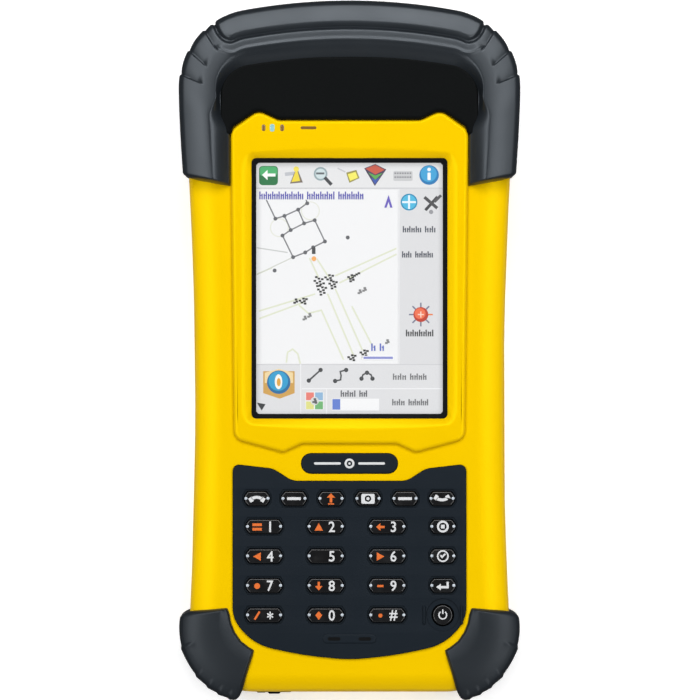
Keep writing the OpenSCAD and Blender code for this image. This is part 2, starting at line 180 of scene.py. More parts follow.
def rounded(corners, steps=8):
    """A closed outline from corners (x, y, radius), each replaced by the arc that touches both its sides."""
    spots = np.array(corners, float)
    pieces = []
    for before, here, after in zip(np.roll(spots, 1, axis=0), spots, np.roll(spots, -1, axis=0)):
        if here[2] == 0:
            pieces.append(here[None, :2])
            continue
        one, two = before[:2] - here[:2], after[:2] - here[:2]
        one, two = one / np.linalg.norm(one), two / np.linalg.norm(two)
        half = math.acos(np.clip(one @ two, -1, 1)) / 2
        middle = here[:2] + (one + two) / np.linalg.norm(one + two) * here[2] / math.sin(half)
        first = here[:2] + one * here[2] / math.tan(half) - middle
        last = here[:2] + two * here[2] / math.tan(half) - middle
        start = math.degrees(math.atan2(first[1], first[0]))
        turn = (math.degrees(math.atan2(last[1], last[0])) - start + 540) % 360 - 180
        pieces.append(arc(middle, here[2], start, start + turn, steps + 1))
    return np.concatenate(pieces)


def both(right):
    """Corners on the right side, followed by their mirror images."""
    return right + [(-x, y, r) for x, y, r in reversed(right)]


def rectangle(low, high, radius, steps=6):
    """A rectangle with rounded corners, counter-clockwise from its lower right corner."""
    (x0, y0), (x1, y1) = low, high
    return rounded([(x1, y0, radius), (x1, y1, radius), (x0, y1, radius), (x0, y0, radius)], steps)


def node_outline(node, gap, radius, steps=6):
    """A node's box from above, grown by a gap, as a rectangle with rounded corners."""
    low, high = box(node)
    return rectangle(low[:2] - gap, high[:2] + gap, radius, steps)


def travelled(line):
    """How far along a line each of its points is."""
    return np.concatenate([[0], np.cumsum(np.linalg.norm(np.diff(line, axis=0), axis=1))])


def evenly(outline, count, closed=True):
    """An outline's points moved along it until their spacing is even."""
    line = np.concatenate([outline, outline[:1]]) if closed else outline
    along = travelled(line)
    wanted = np.linspace(0, along[-1], count + 1)[:-1] if closed else np.linspace(0, along[-1], count)
    return np.stack([np.interp(wanted, along, line[:, k]) for k in (0, 1)], axis=1)


def outward(outline):
    """Unit normals of a closed, counter-clockwise outline, square to the lines between neighbours."""
    along = np.roll(outline, -1, axis=0) - np.roll(outline, 1, axis=0)
    along = along / np.linalg.norm(along, axis=1, keepdims=True)
    return np.stack([along[:, 1], -along[:, 0]], axis=1)


def grown(outline, distance):
    """A closed outline moved outwards by a distance."""
    return outline + outward(outline) * distance


def corner_radius():
    """Radius of the casing's bottom corners, which are as wide as the casing at their middle's height."""
    corner_y = -70.5
    return half_width(corner_y) - casing_sizes().low_corner


def low_centre():
    """Centre of the right bottom corner: the guards' arc ends a little below the object's lowest edge."""
    s = casing_sizes()
    guard_low = box("bottom_bumper_right")[0][1]
    tip_rise = 0.3
    return np.array([s.low_corner, guard_low - tip_rise + s.guard_proud + corner_radius()])


def cap_centre():
    """Centre of the right top corner, which touches the top sweep inside, and the angle where they touch."""
    s = casing_sizes()
    reach = s.sweep - s.cap_radius
    tangent = math.acos(s.high_corner / reach)
    return np.array([s.high_corner, sweep_centre()[1] + reach * math.sin(tangent)]), math.degrees(tangent)


def sweep_centre():
    """Centre of the antenna end's top edge."""
    return np.array([0, box("top_bumper")[1][1] - casing_sizes().sweep])


def half_width(y):
    """Half the casing's width at height y: its waist plus a flare that grows with the distance squared."""
    s = casing_sizes()
    waist_y, span = -14.0, 52.0
    return np.minimum(s.waist + s.flare * ((y - waist_y) / span) ** 2, s.shoulder)


def casing_outline(count=360):
    """The casing from the front: bottom corner, waisted side, top corner and top sweep, then mirrored."""
    s = casing_sizes()
    side = np.linspace(-68, 60, 60)
    high, tangent = cap_centre()
    right = np.concatenate([
        arc(low_centre(), corner_radius(), -90, -9, 40),
        np.stack([half_width(side), side], axis=1),
        arc(high, s.cap_radius - s.cap_skin, 0, tangent, 40),
        arc(sweep_centre(), s.sweep - s.cap_skin, tangent + 1, 89.5, 20),
    ])
    return evenly(mirrored(right), count)


def surround_corners():
    """The raised display surround: straight sides, a dropped lower edge and two raised upper corners."""
    (_, low, _), (right, high, _) = box("display_bezel")
    return both([(12, low + 2.1, 2), (16.8, low - 0.1, 2), (29.4, low + 3.3, 3), (right, high - 4.7, 3),
                 (23.2, high + 0.35, 3.2), (18, high - 2.1, 2.8)])


def keypad_corners():
    """The keypad panel: a stepped upper edge, straight sides and a lower edge in one long curve."""
    (_, low, _), (right, high, _) = box("keypad_panel")
    return both([(2, low, 40), (11, low + 0.8, 100), (24.5, low + 3.7, 14), (right, low + 10.3, 8),
                 (right, high, 1.5), (19.4, high - 1.2, 5), (14.6, high - 4.3, 5)])


def cap_corners():
    """The antenna cap: it follows the surround's upper edge below and the bumper's inner edge above."""
    right, high = box("antenna_cap")[1][:2]
    return both([(18, 58.75, 2.8), (23.2, 61.25, 3.2), (31.6, 55.5, 0.6), (right, 71, 7), (12, high, 60)])


# ---------------------------------------------------------------- meshes


def placed(name, data):
    """A new object in the scene."""
    made = bpy.data.objects.new(name, data)
    bpy.context.scene.collection.objects.link(made)
    return made


def new_piece(name, mesh, finishes, body=ROOT, stands_for=(), sharp=40):
    """Puts a mesh in the scene, shades it smooth but for sharp edges, paints it and binds it to a body."""
    mesh.name = name
    piece = placed(name, mesh)
    for finish in finishes:
        mesh.materials.append(paint(finish))
    mesh.shade_smooth()
    mesh.set_sharp_from_angle(angle=math.radians(sharp))
    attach(piece, body)
    if stands_for:
        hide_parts(*stands_for)
    return piece


def grid_mesh(points, around=True, ring=False, capped=False):
    """A mesh from rows of points, in millimetres: quads between neighbours. around joins each row's end to
    its start, ring joins the last row to the first, and capped puts a flat face on the first and last row."""
    rows, columns = points.shape[:2]
    index = np.arange(rows * columns).reshape(rows, columns)
    if ring:
        index = np.concatenate([index, index[:1]])
    right = np.roll(index, -1, axis=1) if around else index[:, 1:]
    left = index if around else index[:, :-1]
    faces = np.stack([left[:-1], right[:-1], right[1:], left[1:]], axis=-1).reshape(-1, 4).tolist()
    if capped:
        faces += [index[0][::-1].tolist(), index[-1].tolist()]
    mesh = bpy.data.meshes.new("grid")
    mesh.from_pydata((points.reshape(-1, 3) * MM).tolist(), [], faces)
    mesh.update()
    return mesh


def at_height(line, height):
    """An outline's points, all at one height."""
    return np.concatenate([line, np.full((len(line), 1), height)], axis=1)


def lofted(outline, profile):
    """Rows of points: each profile entry (height, inset) moves the whole outline inwards and lifts it."""
    away = outward(outline)
    return np.stack([at_height(outline - inset * away, height) for height, inset in profile])


def quarter(low, high, reach, count):
    """A profile along a quarter of an ellipse between two heights, upright at its start, level at its end."""
    angle = np.linspace(0, math.pi / 2, count)
    return list(zip(low + (high - low) * np.sin(angle), reach * (1 - np.cos(angle))))


@contextmanager
def edited(mesh):
    """A mesh in its editable form, written back afterwards."""
    shell = bmesh.new()
    shell.from_mesh(mesh)
    yield shell
    shell.to_mesh(mesh)
    shell.free()


def spots_of(mesh):
    """A mesh's vertices, in metres."""
    spots = np.zeros(len(mesh.vertices) * 3, np.float32)
    mesh.vertices.foreach_get("co", spots)
    return spots.reshape(-1, 3)


def move_spots(mesh, spots):
    """Gives a mesh's vertices their new places, in metres."""
    mesh.vertices.foreach_set("co", spots.astype(np.float32).ravel())


def plate_mesh(loops, low, high, bevel=0.0, steps=3):
    """A flat plate between two heights: loops inside loops are holes, and every edge is rounded by bevel."""
    curve = bpy.data.curves.new("plate", "CURVE")
    curve.dimensions, curve.fill_mode = "2D", "BOTH"
    for loop in loops:
        spline = curve.splines.new("POLY")
        spline.points.add(len(loop) - 1)
        spots = np.zeros((len(loop), 4), np.float32)
        spots[:, :2] = np.array(loop) * MM
        spots[:, 3] = 1
        spline.points.foreach_set("co", spots.ravel())
        spline.use_cyclic_u = True
    curve.extrude = ((high - low) / 2 - bevel) * MM
    curve.bevel_depth, curve.bevel_resolution, curve.offset = bevel * MM, steps, -bevel * MM
    return curve_to_mesh(curve, (0, 0, (low + high) / 2))


def curve_to_mesh(curve, place):
    """A curve or text turned into a mesh, with its place in its vertices and its normals outwards."""
    holder = placed("holder", curve)
    mesh = bpy.data.meshes.new_from_object(holder.evaluated_get(bpy.context.evaluated_depsgraph_get()))
    bpy.data.objects.remove(holder)
    move_spots(mesh, spots_of(mesh) + np.array(place) * MM)
    with edited(mesh) as shell:
        bmesh.ops.remove_doubles(shell, verts=shell.verts, dist=0.002 * MM)
        bmesh.ops.recalc_face_normals(shell, faces=shell.faces)
    mesh.materials.clear()
    return mesh


def joined(groups):
    """Groups of meshes as one mesh. A group's place in the list is its material's number."""
    whole = bmesh.new()
    for number, meshes in enumerate(groups):
        for mesh in meshes:
            before = len(whole.faces)
            whole.from_mesh(mesh)
            whole.faces.ensure_lookup_table()
            for face in whole.faces[before:]:
                face.material_index = number
            bpy.data.meshes.remove(mesh)
    together = bpy.data.meshes.new("joined")
    whole.to_mesh(together)
    whole.free()
    return together


def closed(mesh):
    """Closes a mesh's open ends and turns its faces outwards."""
    with edited(mesh) as shell:
        bmesh.ops.holes_fill(shell, edges=[e for e in shell.edges if e.is_boundary], sides=0)
        bmesh.ops.recalc_face_normals(shell, faces=shell.faces)
    return mesh


def bore(piece, centre, radius, depth):
    """Cuts a round hole along Y through a piece."""
    rows = lofted(disc(radius, count=64), [(-depth / 2, 0), (depth / 2, 0)])
    turned_rows = np.stack([rows[..., 0], rows[..., 2], -rows[..., 1]], axis=2) + np.array(centre)
    cutter = placed("cutter", grid_mesh(turned_rows, capped=True))
    cut = piece.modifiers.new("bore", "BOOLEAN")
    cut.object, cut.operation, cut.solver = cutter, "DIFFERENCE", "EXACT"
    mesh = bpy.data.meshes.new_from_object(piece.evaluated_get(bpy.context.evaluated_depsgraph_get()))
    piece.modifiers.clear()
    piece.data = mesh
    bpy.data.objects.remove(cutter)


def dressed(node, finish, width):
    """A copy of a CAD node with its loose triangles merged into flat faces and its sharp edges rounded."""
    sharp = 40
    mesh = frame["nodes"][node].data.copy()
    mesh.materials.clear()
    with edited(mesh) as shell:
        bmesh.ops.remove_doubles(shell, verts=shell.verts, dist=0.004 * MM)
        bmesh.ops.dissolve_limit(shell, angle_limit=math.radians(1.5), verts=shell.verts, edges=shell.edges)
    body = frame["nodes"][node]["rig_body"]
    piece = new_piece(node + "_shape", mesh, [finish], body, [node], sharp)
    bevel = piece.modifiers.new("edges", "BEVEL")
    bevel.width, bevel.segments, bevel.limit_method = width * MM, 2, "ANGLE"
    bevel.angle_limit, bevel.use_clamp_overlap = math.radians(sharp), True


# ---------------------------------------------------------------- materials


class Value:
    """An output of a material's node. Sums and comparisons of values add Math nodes."""

    def __init__(self, paint, socket):
        self.paint, self.socket = paint, socket

    def maths(self, operation, other):
        """A Math node fed by this value and another."""
        return self.paint.node("ShaderNodeMath", {"operation": operation}, {0: self, 1: other})

    def __add__(self, other):
        return self.maths("ADD", other)

    def __gt__(self, other):
        return self.maths("GREATER_THAN", other)


class Paint:
    """A material under construction: its nodes and its Principled shader."""

    def __init__(self, name, roughness=0.5, **constants):
        self.material = bpy.data.materials.new(name)
        self.material.use_nodes = True
        self.tree = self.material.node_tree
        self.shader = self.tree.nodes["Principled BSDF"]
        self.put("Roughness", roughness)
        for socket, value in constants.items():
            self.put(socket.replace("_", " ").title().replace("Ior", "IOR"), value)

    def put(self, socket, value):
        """Sets one of the shader's sockets to a number or a colour, or links a value to it."""
        self.connect(self.shader.inputs[socket], value)

    def connect(self, target, value):
        """Sets or links one socket."""
        if isinstance(value, Value):
            self.tree.links.new(value.socket, target)
        elif isinstance(value, (tuple, list)) and target.type == "RGBA" and len(value) == 3:
            target.default_value = (*value, 1.0)
        else:
            target.default_value = value

    def node(self, kind, settings=None, sockets=None, output=0):
        """Adds a node, makes its settings, then sets or links its sockets, and returns one of its outputs."""
        made = self.tree.nodes.new(kind)
        for name, value in (settings or {}).items():
            setattr(made, name, value)
        for name, value in (sockets or {}).items():
            self.connect(made.inputs[name], value)
        return Value(self, made.outputs[output])

    def place(self):
        """Object coordinates, in metres."""
        return self.node("ShaderNodeTexCoord", output="Object")

    def noise(self, scale, detail=3.0, roughness=0.5, stretch=(1, 1, 1)):
        """Smooth noise of so many features a metre, stretched along the axes."""
        where = self.node("ShaderNodeMapping", None, {"Vector": self.place(), "Scale": stretch})
        return self.node("ShaderNodeTexNoise", None,
                         {"Vector": where, "Scale": scale, "Detail": detail, "Roughness": roughness})

    def mix(self, factor, first, second):
        """A colour between two colours."""
        return self.node("ShaderNodeMix", {"data_type": "RGBA"}, {0: factor, 6: first, 7: second}, output=2)

    def ramp(self, value, *stops):
        """A value turned into a colour by two stops (place, colour)."""
        made = self.node("ShaderNodeValToRGB", None, {"Fac": value})
        for stop, (place, tone) in zip(made.socket.node.color_ramp.elements, stops):
            stop.position, stop.color = place, (*tone, 1.0)
        return made

    def between(self, value, low, high, start, end):
        """A value from low..high mapped smoothly to start..end."""
        return self.node("ShaderNodeMapRange", {"interpolation_type": "SMOOTHSTEP"},
                         {"Value": value, "From Min": low, "From Max": high, "To Min": start, "To Max": end})

    def bump(self, height, depth, strength):
        """Bends the normal by a height; depth is how deep it goes, in millimetres."""
        self.put("Normal", self.node("ShaderNodeBump", None,
                                     {"Height": height, "Distance": depth * MM, "Strength": strength}))

    def mottle(self, tone, dark, light, scale):
        """Colour that wanders a little between a darker and a lighter shade of a tone."""
        ends = [tuple(min(part * share, 1) for part in tone) for share in (dark, light)]
        self.put("Base Color", self.mix(self.noise(scale, 2.0), *ends))

    def haze(self, scale, detail, start, end, low=0.3, high=0.7):
        """Roughness that wanders from start to end where its noise goes from low to high."""
        self.put("Roughness", self.between(self.noise(scale, detail), low, high, start, end))

    def grain(self, scale, detail, depth, strength):
        """A bump of noise."""
        self.bump(self.noise(scale, detail), depth, strength)


PAINTS = {}


def paint(name):
    """A finished material, made the first time it is asked for."""
    if name not in PAINTS:
        PAINTS[name] = RECIPES[name]().material
    return PAINTS[name]


def moulded(name, tone, mottle, haze, grain, **constants):
    """A surface whose colour, roughness and height each wander with a noise of their own. The last two may be
    left out."""
    p = Paint(name, **constants)
    p.mottle(tone, *mottle)
    if haze:
        p.haze(*haze)
    if grain:
        p.grain(*grain)
    return p


def smooth_rubber(name, shine, dull):
    """Dark rubber of a given shine and least roughness, with dull patches and a fine matt grain."""
    return moulded(name, finish_of("rubber"), (0.86, 1.12, 70), (60, 4.0, dull, dull + 0.07),
                   (2300, 3.0, 0.004, 0.5), specular_ior_level=shine, specular_tint=(0.84, 0.92, 1.0, 1.0))


def cap_plastic():
    """Near-black plastic over the antenna. Its bump is the distance to scattered points, like leather."""
    p = moulded("cap_plastic", finish_of("cap"), (0.8, 1.2, 40), (150, 3.0, 0.50, 0.60), None,
                specular_ior_level=0.05)
    cells = p.node("ShaderNodeTexVoronoi", {"feature": "SMOOTH_F1"}, {"Vector": p.place(), "Scale": 1500.0})
    p.bump(cells, 0.03, 0.5)
    return p


def ink(name):
    """Printed ink: slightly uneven, matt."""
    return moulded(name, finish_of(name), (0.93, 1.0, 900), None, (5000, 2.0, 0.004, 0.4),
                   specular_ior_level=0.3)


def metal(name, tone, low, high, stretch):
    """Drawn or brushed metal: its roughness and its bump run in the same streaks."""
    p = Paint(name, metallic=1.0)
    streak = p.noise(700, 4.0, 0.6, stretch)
    p.mottle(tone, 0.9, 1.05, 400)
    p.put("Roughness", p.between(streak, 0.3, 0.7, low, high))
    p.bump(streak, 0.006, 0.5)
    return p


def circuit_board():
    """Green solder mask over copper lines that cross in a grid."""
    p = Paint("circuit_board", 0.34, specular_ior_level=0.5)
    across, along = (p.node("ShaderNodeTexWave", {"wave_type": "BANDS", "bands_direction": way},
                            {"Vector": p.place(), "Scale": scale, "Distortion": 3.0, "Detail": 1.0})
                     for way, scale in (("X", 260.0), ("Y", 210.0)))
    lines = (across > 0.72) + (along > 0.78)
    p.put("Base Color", p.mix(lines, (0.008, 0.10, 0.035), (0.02, 0.20, 0.07)))
    p.bump(lines, 0.02, 0.6)
    return p


def screen_glass():
    """The touch panel: a clear, faintly hazed sheet over the picture."""
    p = moulded("screen_glass", (0.55, 0.60, 0.62), (0.95, 1.0, 60), (80, 4.0, 0.04, 0.10), None, alpha=0.06,
                specular_ior_level=0.5)
    p.material.surface_render_method = "BLENDED"
    return p


def screen_picture():
    """The lit picture: its colours are stored on its faces. They glow, and their own surface is darkened."""
    p = Paint("screen_picture", 0.35, specular_ior_level=0.2, emission_strength=0.55)
    drawn = p.node("ShaderNodeAttribute", {"attribute_name": "drawn"}, output="Color")
    p.put("Base Color", p.mix(0.62, drawn, (0.0, 0.0, 0.0)))
    p.put("Emission Color", drawn)
    return p


def lens(name, tone, glow=0.0):
    """A small moulded light window."""
    p = moulded(name, tone, (0.9, 1.1, 900), None, (1500, 2.0, 0.01, 0.4), roughness=0.18, coat_weight=0.3,
                emission_strength=glow)
    if glow:
        p.put("Emission Color", tone)
    return p


def dark_window():
    """A coated camera window."""
    p = Paint("window_glass", 0.05, coat_weight=1.0, coat_roughness=0.03)
    blotches = p.node("ShaderNodeTexNoise", None, {"Vector": p.place(), "Scale": 120.0, "Detail": 1.0})
    p.put("Base Color", p.ramp(blotches, (0.3, (0.004, 0.005, 0.012)), (0.7, (0.014, 0.012, 0.03))))
    return p


def floor_paper():
    """A pale studio sweep, lit a little from behind."""
    p = Paint("floor_paper", 0.85, specular_ior_level=0.1, emission_strength=0.3)
    p.mottle((0.93, 0.93, 0.93), 0.995, 1.0, 4)
    p.put("Emission Color", (1.0, 1.0, 1.0))
    return p


RECIPES = {
    # satin-gloss moulding with a fine spark-eroded grain and a faint flow of tone
    "yellow": lambda: moulded("yellow_plastic", finish_of("yellow"), (0.965, 1.03, 30),
                              (90, 1.0, 0.31, 0.36, 0.2, 0.8), (3400, 2.0, 0.006, 0.5),
                              specular_ior_level=0.9, specular_tint=(1.0, 0.74, 0.01, 1.0)),
    "rubber": lambda: smooth_rubber("bumper_rubber", 0.55, 0.33),
    "guard rubber": lambda: smooth_rubber("guard_rubber", 0.30, 0.38),
    "cap": cap_plastic,
    # the keypad panel's satin slate
    "slate": lambda: moulded("slate_plastic", finish_of("slate"), (0.9, 1.1, 50), (120, 3.0, 0.40, 0.48),
                             (3000, 2.0, 0.006, 0.5), specular_ior_level=0.06),
    # black gloss with the faintest haze of use
    "key": lambda: moulded("key_plastic", finish_of("key"), (0.9, 1.1, 200), (260, 4.0, 0.14, 0.28, 0.35),
                           (900, 2.0, 0.003, 0.4), coat_weight=0.25, coat_roughness=0.10,
                           specular_ior_level=0.5),
    "white": lambda: ink("white_ink"),
    "orange": lambda: ink("orange_ink"),
    # soft black rubber of covers, buttons and seals
    "soft black": lambda: moulded("black_rubber", (0.0030, 0.0032, 0.0036), (0.8, 1.25, 160),
                                  (200, 3.0, 0.52, 0.64), (2600, 3.0, 0.012, 0.6), specular_ior_level=0.06),
    # dark plastic with a fine sand-blasted grain
    "battery": lambda: moulded("battery_plastic", (0.024, 0.027, 0.032), (0.85, 1.15, 90),
                               (140, 4.0, 0.46, 0.58), (2400, 3.0, 0.016, 0.7), specular_ior_level=0.4),
    "steel": lambda: metal("steel", (0.62, 0.62, 0.63), 0.24, 0.38, (1, 1, 12)),
    "dark steel": lambda: metal("dark_steel", (0.16, 0.16, 0.17), 0.30, 0.46, (6, 1, 1)),
    "board": circuit_board,
    # grey translucent keypad rubber
    "silicone": lambda: moulded("silicone", (0.20, 0.20, 0.21), (0.9, 1.1, 100), None, (2000, 3.0, 0.01, 0.5),
                                subsurface_weight=0.15, subsurface_scale=0.001),
    # fired ceramic, dry and faintly speckled
    "ceramic": lambda: moulded("antenna_ceramic", (0.62, 0.55, 0.40), (0.85, 1.1, 700), None,
                               (1800, 4.0, 0.02, 0.6), roughness=0.7, specular_ior_level=0.3),
    "glass": screen_glass,
    "picture": screen_picture,
    # pale grey dots on the keys' ends: painted highlights of the end chamfers, not lamps
    "painted highlight dot": lambda: lens("painted_highlight_dot", (0.42, 0.47, 0.52)),
    "blue lamp": lambda: lens("blue_lamp", (0.24, 0.46, 0.46), 0.06),
    "grey lamp": lambda: lens("grey_lamp", (0.19, 0.10, 0.02)),
    "flash": lambda: lens("flash_lens", (0.80, 0.80, 0.74)),
    "window": dark_window,
    "floor": floor_paper,
}


# ---------------------------------------------------------------- casing and surround


def smooth(t):
    """0 below 0, 1 above 1, and a smooth step between."""
    t = np.clip(t, 0, 1)
    return t * t * (3 - 2 * t)


def step(past, rise, fade):
    """0 before a place, then a smooth step up to 1 that dies away again over a length."""
    return smooth(past / rise) * np.exp(-np.maximum(past, 0) / fade)


def crown(top, reach, drop, edge, power=1.4):
    """A profile from the side wall to the top: an arc of radius edge, then a rise of drop over reach whose
    height is the top less drop times the power of the distance left."""
    lean = math.atan(power * drop / reach * (1 - edge * 0.7 / reach) ** (power - 1))
    turn = np.linspace(0, math.pi / 2 - lean, 12)
    first = edge * (1 - math.cos(turn[-1]))
    foot = top - drop * (1 - first / reach) ** power - edge * math.sin(turn[-1])
    rounding = list(zip(foot + edge * np.sin(turn), edge * (1 - np.cos(turn))))
    inset = np.linspace(first, reach, 34)[1:]
    return rounding + list(zip(top - drop * (1 - inset / reach) ** power, inset))


def front_casing():
    """The yellow front half. Its shell goes up from the parting plane, over the rail's crown to the flat
    front, then back inside the wall; the crown reaches inwards by the rail inset, and less towards the bottom
    edge. A flat face with openings for the display, the keys and the badge closes it."""
    s = casing_sizes()
    split, face = box("rear_housing")[1][2], box("front_housing")[1][2]
    wall, rim = 2.1, s.rail_inset + 0.2
    outline = casing_outline()
    away = outward(outline)
    even = np.ones(len(outline))
    share = 0.62 + 0.38 * smooth((outline[:, 1] + 82) / 14)
    lip = [(split + 0.05, wall), (split + 0.05, 0.35), (split + 0.22, 0.07), (split + 0.45, 0.0)]
    rail = crown(face, s.rail_inset, s.rail_drop, 2.4, 2.0)
    rail += [(face, rim), (face - 1.8, rim), (face - 2.4, rim - 0.8)]
    inside = [(split + 2.6, wall + 0.2)]
    rows = [at_height(outline - away * (inset * spread)[:, None], height)
            for spread, profile in ((even, lip), (share, rail), (even, inside)) for height, inset in profile]
    loops = [outline - away * (rim * share)[:, None], node_outline("touch_glass", 0.2, 1.5),
             grown(evenly(rounded(keypad_corners()), 400), 0.12), node_outline("badge_plate", 0.12, 2.6)]
    flat = plate_mesh(loops, face - 1.6, face)
    new_piece("front_casing", joined([[grid_mesh(np.stack(rows), ring=True), flat]]), ["yellow"],
              stands_for=["front_housing"])


def by_rays(outline, centre, count):
    """An outline's points on rays that leave a centre at even angles."""
    spots = evenly(outline, 6000) - centre
    wanted = np.linspace(-math.pi, math.pi, count, endpoint=False)
    reach = np.interp(wanted, np.arctan2(spots[:, 1], spots[:, 0]), np.linalg.norm(spots, axis=1),
                      period=2 * math.pi)
    return centre + reach[:, None] * np.stack([np.cos(wanted), np.sin(wanted)], axis=1)


def display_surround():
    """The raised surround: a rounded outer edge, a flat, and a sloping bevel down to the glass. The bevel's
    ends are arched: they move out by an arch's height times one less the square of the place across."""
    (_, _, low), (_, _, top) = box("display_bezel")
    gasket_low, gasket_high = box("display_gasket")
    centre = np.array([0.0, (gasket_low[1] + gasket_high[1]) / 2])
    edge_width = 1.1
    window = node_outline("display_gasket", -1.1, 1.2, 12)
    slope = evenly(rectangle(window.min(0) - (2.8, 1.6), window.max(0) + (2.8, 1.4), 3.2, 12), 2400)
    arch = 1.7 * (1 - (slope[:, 0] / slope[:, 0].max()) ** 2)
    straight, blend = 28, 8
    ends = np.clip((np.abs(slope[:, 1] - centre[1]) - straight) / blend, 0, 1)
    slope[:, 1] += arch * ends * np.sign(slope[:, 1] - centre[1])
    outer = rounded(surround_corners())
    outer, window, slope = (by_rays(line, centre, 900) for line in (outer, window, slope))
    edge = [at_height(grown(outer, -inset), height)
            for height, inset in quarter(top - 1.05, top, edge_width, 10)]
    flat = [at_height(outer * (1 - t) + slope * t, top) for t in (0.55, 0.75, 0.92)]
    fall = [(0.0, 0.0), (0.08, 0.02), (0.2, 0.09), (0.5, 0.40), (0.85, 0.83), (0.95, 0.96), (1.0, 1.06)]
    incline = [at_height(slope * (1 - t) + window * t, top - 1.15 * drop) for t, drop in fall]
    foot = [at_height(window, low - 0.5), at_height(grown(window, 1), low - 0.5)]
    rows = np.stack([at_height(outer, low)] + edge + flat + incline + foot)
    new_piece("display_surround", grid_mesh(rows, ring=True), ["yellow"],
              stands_for=["display_bezel"], sharp=50)


def lamps_and_receiver():
    """Three small lamp windows, the middle one lit, and the receiver's dark slit, let into the surround."""
    top = box("display_bezel")[1][2]
    (left, low, _), (right, high, _) = box("indicator_lenses")
    middle = (low + high) / 2
    for name, x, width, height, finish in (("lamp_left", left + 0.55, 0.95, 1.7, "grey lamp"),
                                           ("lamp_middle", (left + right) / 2 - 0.2, 1.2, 1.9, "blue lamp"),
                                           ("lamp_right", right - 0.6, 1.0, 1.7, "grey lamp")):
        reach = np.array([width, height]) / 2
        outline = evenly(rectangle((x, middle) - reach, (x, middle) + reach, 0.45), 48)
        rows = lofted(outline, [(top - 1.0, 0), (top + 0.02, 0), (top + 0.08, 0.08), (top + 0.11, 0.25)])
        new_piece(name, grid_mesh(rows, capped=True), [finish],
                  stands_for=["indicator_lenses"])
    slit = rectangle((-12.4, middle - 0.38), (-8.4, middle + 0.38), 0.35)
    new_piece("receiver_slit", plate_mesh([slit], top - 0.8, top + 0.03, 0.02), ["grey lamp"])


# ---------------------------------------------------------------- rubber

BACK_ROWS = 5


def rubber_rows(outer, inner, rise, crest, fall, foot, lip):
    """A rubber form that wraps the casing's edge. Each station's section runs from the inner edge on the
    back, round the outside, along a crown's profile that is stretched to the crest's distance, then down by
    fall and over a rounded lip to the inner edge on the front. Both ends sink into the casing along a quarter
    circle. Returns the rows, and how far inwards each point is. The first BACK_ROWS rows lie on the back."""
    across = np.linalg.norm(inner - outer, axis=1)
    into = (inner - outer) / across[:, None]
    top, reach = rise[-1]
    end = across - lip
    start = np.clip(crest, reach, end - 0.3)
    back = [(1.6, across), (0.5, across), (0.12, across - 0.4), (0.0, across - 1.2), (0.0, across * 0.7)]
    side = [(0.0, 4.6), (0.2, 3.9), (0.6, 3.1), (1.2, 2.2), (2.0, 1.4), (3.2, 0.75), (4.8, 0.3), (7.0, 0.05),
            (9.0, 0.0), (13.0, 0.0), (17.0, 0.0), (20.0, 0.0)]
    stretched = [(level, inset + (start - reach) * (inset / reach) ** 2) for level, inset in rise]
    slope = [(top - fall * t ** 1.5, start + (end - start) * t) for t in np.linspace(0, 1, 20)[1:]]
    drop = top - fall - foot
    turn = [(top - fall - drop * (1 - math.cos(angle)), end + lip * math.sin(angle))
            for angle in np.linspace(0.15, 1, 9) * math.pi / 2]
    section = back + side + stretched + slope + turn + [(23.8, across)]
    height = np.stack([np.broadcast_to(level, across.shape) for level, _ in section])
    inset = np.stack([np.broadcast_to(distance, across.shape) for _, distance in section])
    along = travelled((outer + inner) / 2)
    full = np.sqrt(1 - (1 - np.clip(np.minimum(along, along[-1] - along) / 1.2, 0, 1)) ** 2)
    sunk_height, sunk_inset = np.clip(height, 1.8, 24.4), np.maximum(inset, 3.5)
    height = sunk_height + (height - sunk_height) * full
    inset = sunk_inset + (inset - sunk_inset) * full
    return np.concatenate([outer + into * inset[..., None], height[..., None]], axis=2), inset


def lifted(rows, lift):
    """Rows of points moved along their normals, square to the lines between each point's neighbours."""
    along = np.gradient(rows, axis=1)
    over = np.roll(rows, -1, axis=0) - np.roll(rows, 1, axis=0)
    normal = np.cross(along, over)
    normal /= np.maximum(np.linalg.norm(normal, axis=2, keepdims=True), 1e-9)
    return rows + normal * lift[..., None]


def bumper_paths():
    """The top bumper's outer and inner edge, from its right foot over the top to its left foot."""
    s = casing_sizes()
    right, high = box("top_bumper")[1][:2]
    centre, tangent = cap_centre()
    foot, inner_foot, inner_corner_y = 44.0, 41.6, 64.0
    climb = np.linspace(0, 1, 80)
    outer_y = foot + (centre[1] - foot) * climb
    lean, lean_span = 1.15, 22.9
    outer_leg = np.stack([right - lean * ((centre[1] - outer_y) / lean_span) ** 1.5, outer_y], axis=1)
    inner_y = inner_foot + (inner_corner_y - inner_foot) * climb
    inner_leg = np.stack([30.3 + 2.0 * smooth((inner_y - 55.5) / 5.5), inner_y], axis=1)
    outer_corner = arc(centre, s.cap_radius, 0, tangent, 120)
    inner_corner = arc((24.6, inner_corner_y), 7.7, 0, 79, 120)
    outer_top = arc(sweep_centre(), s.sweep, tangent, 90, 81)
    inner_x = inner_corner[-1, 0] * (1 - np.linspace(0, 1, 81))
    peak = high - 15.1
    inner_top = np.stack([inner_x, peak - (peak - inner_corner[-1, 1]) * (inner_x / inner_x[0]) ** 2], axis=1)
    halves = [np.concatenate([leg, corner[1:], top[1:]]) for leg, corner, top in
              ((outer_leg, outer_corner, outer_top), (inner_leg, inner_corner, inner_top))]
    return [np.concatenate([half, half[-2::-1] * (-1, 1)]) for half in halves]


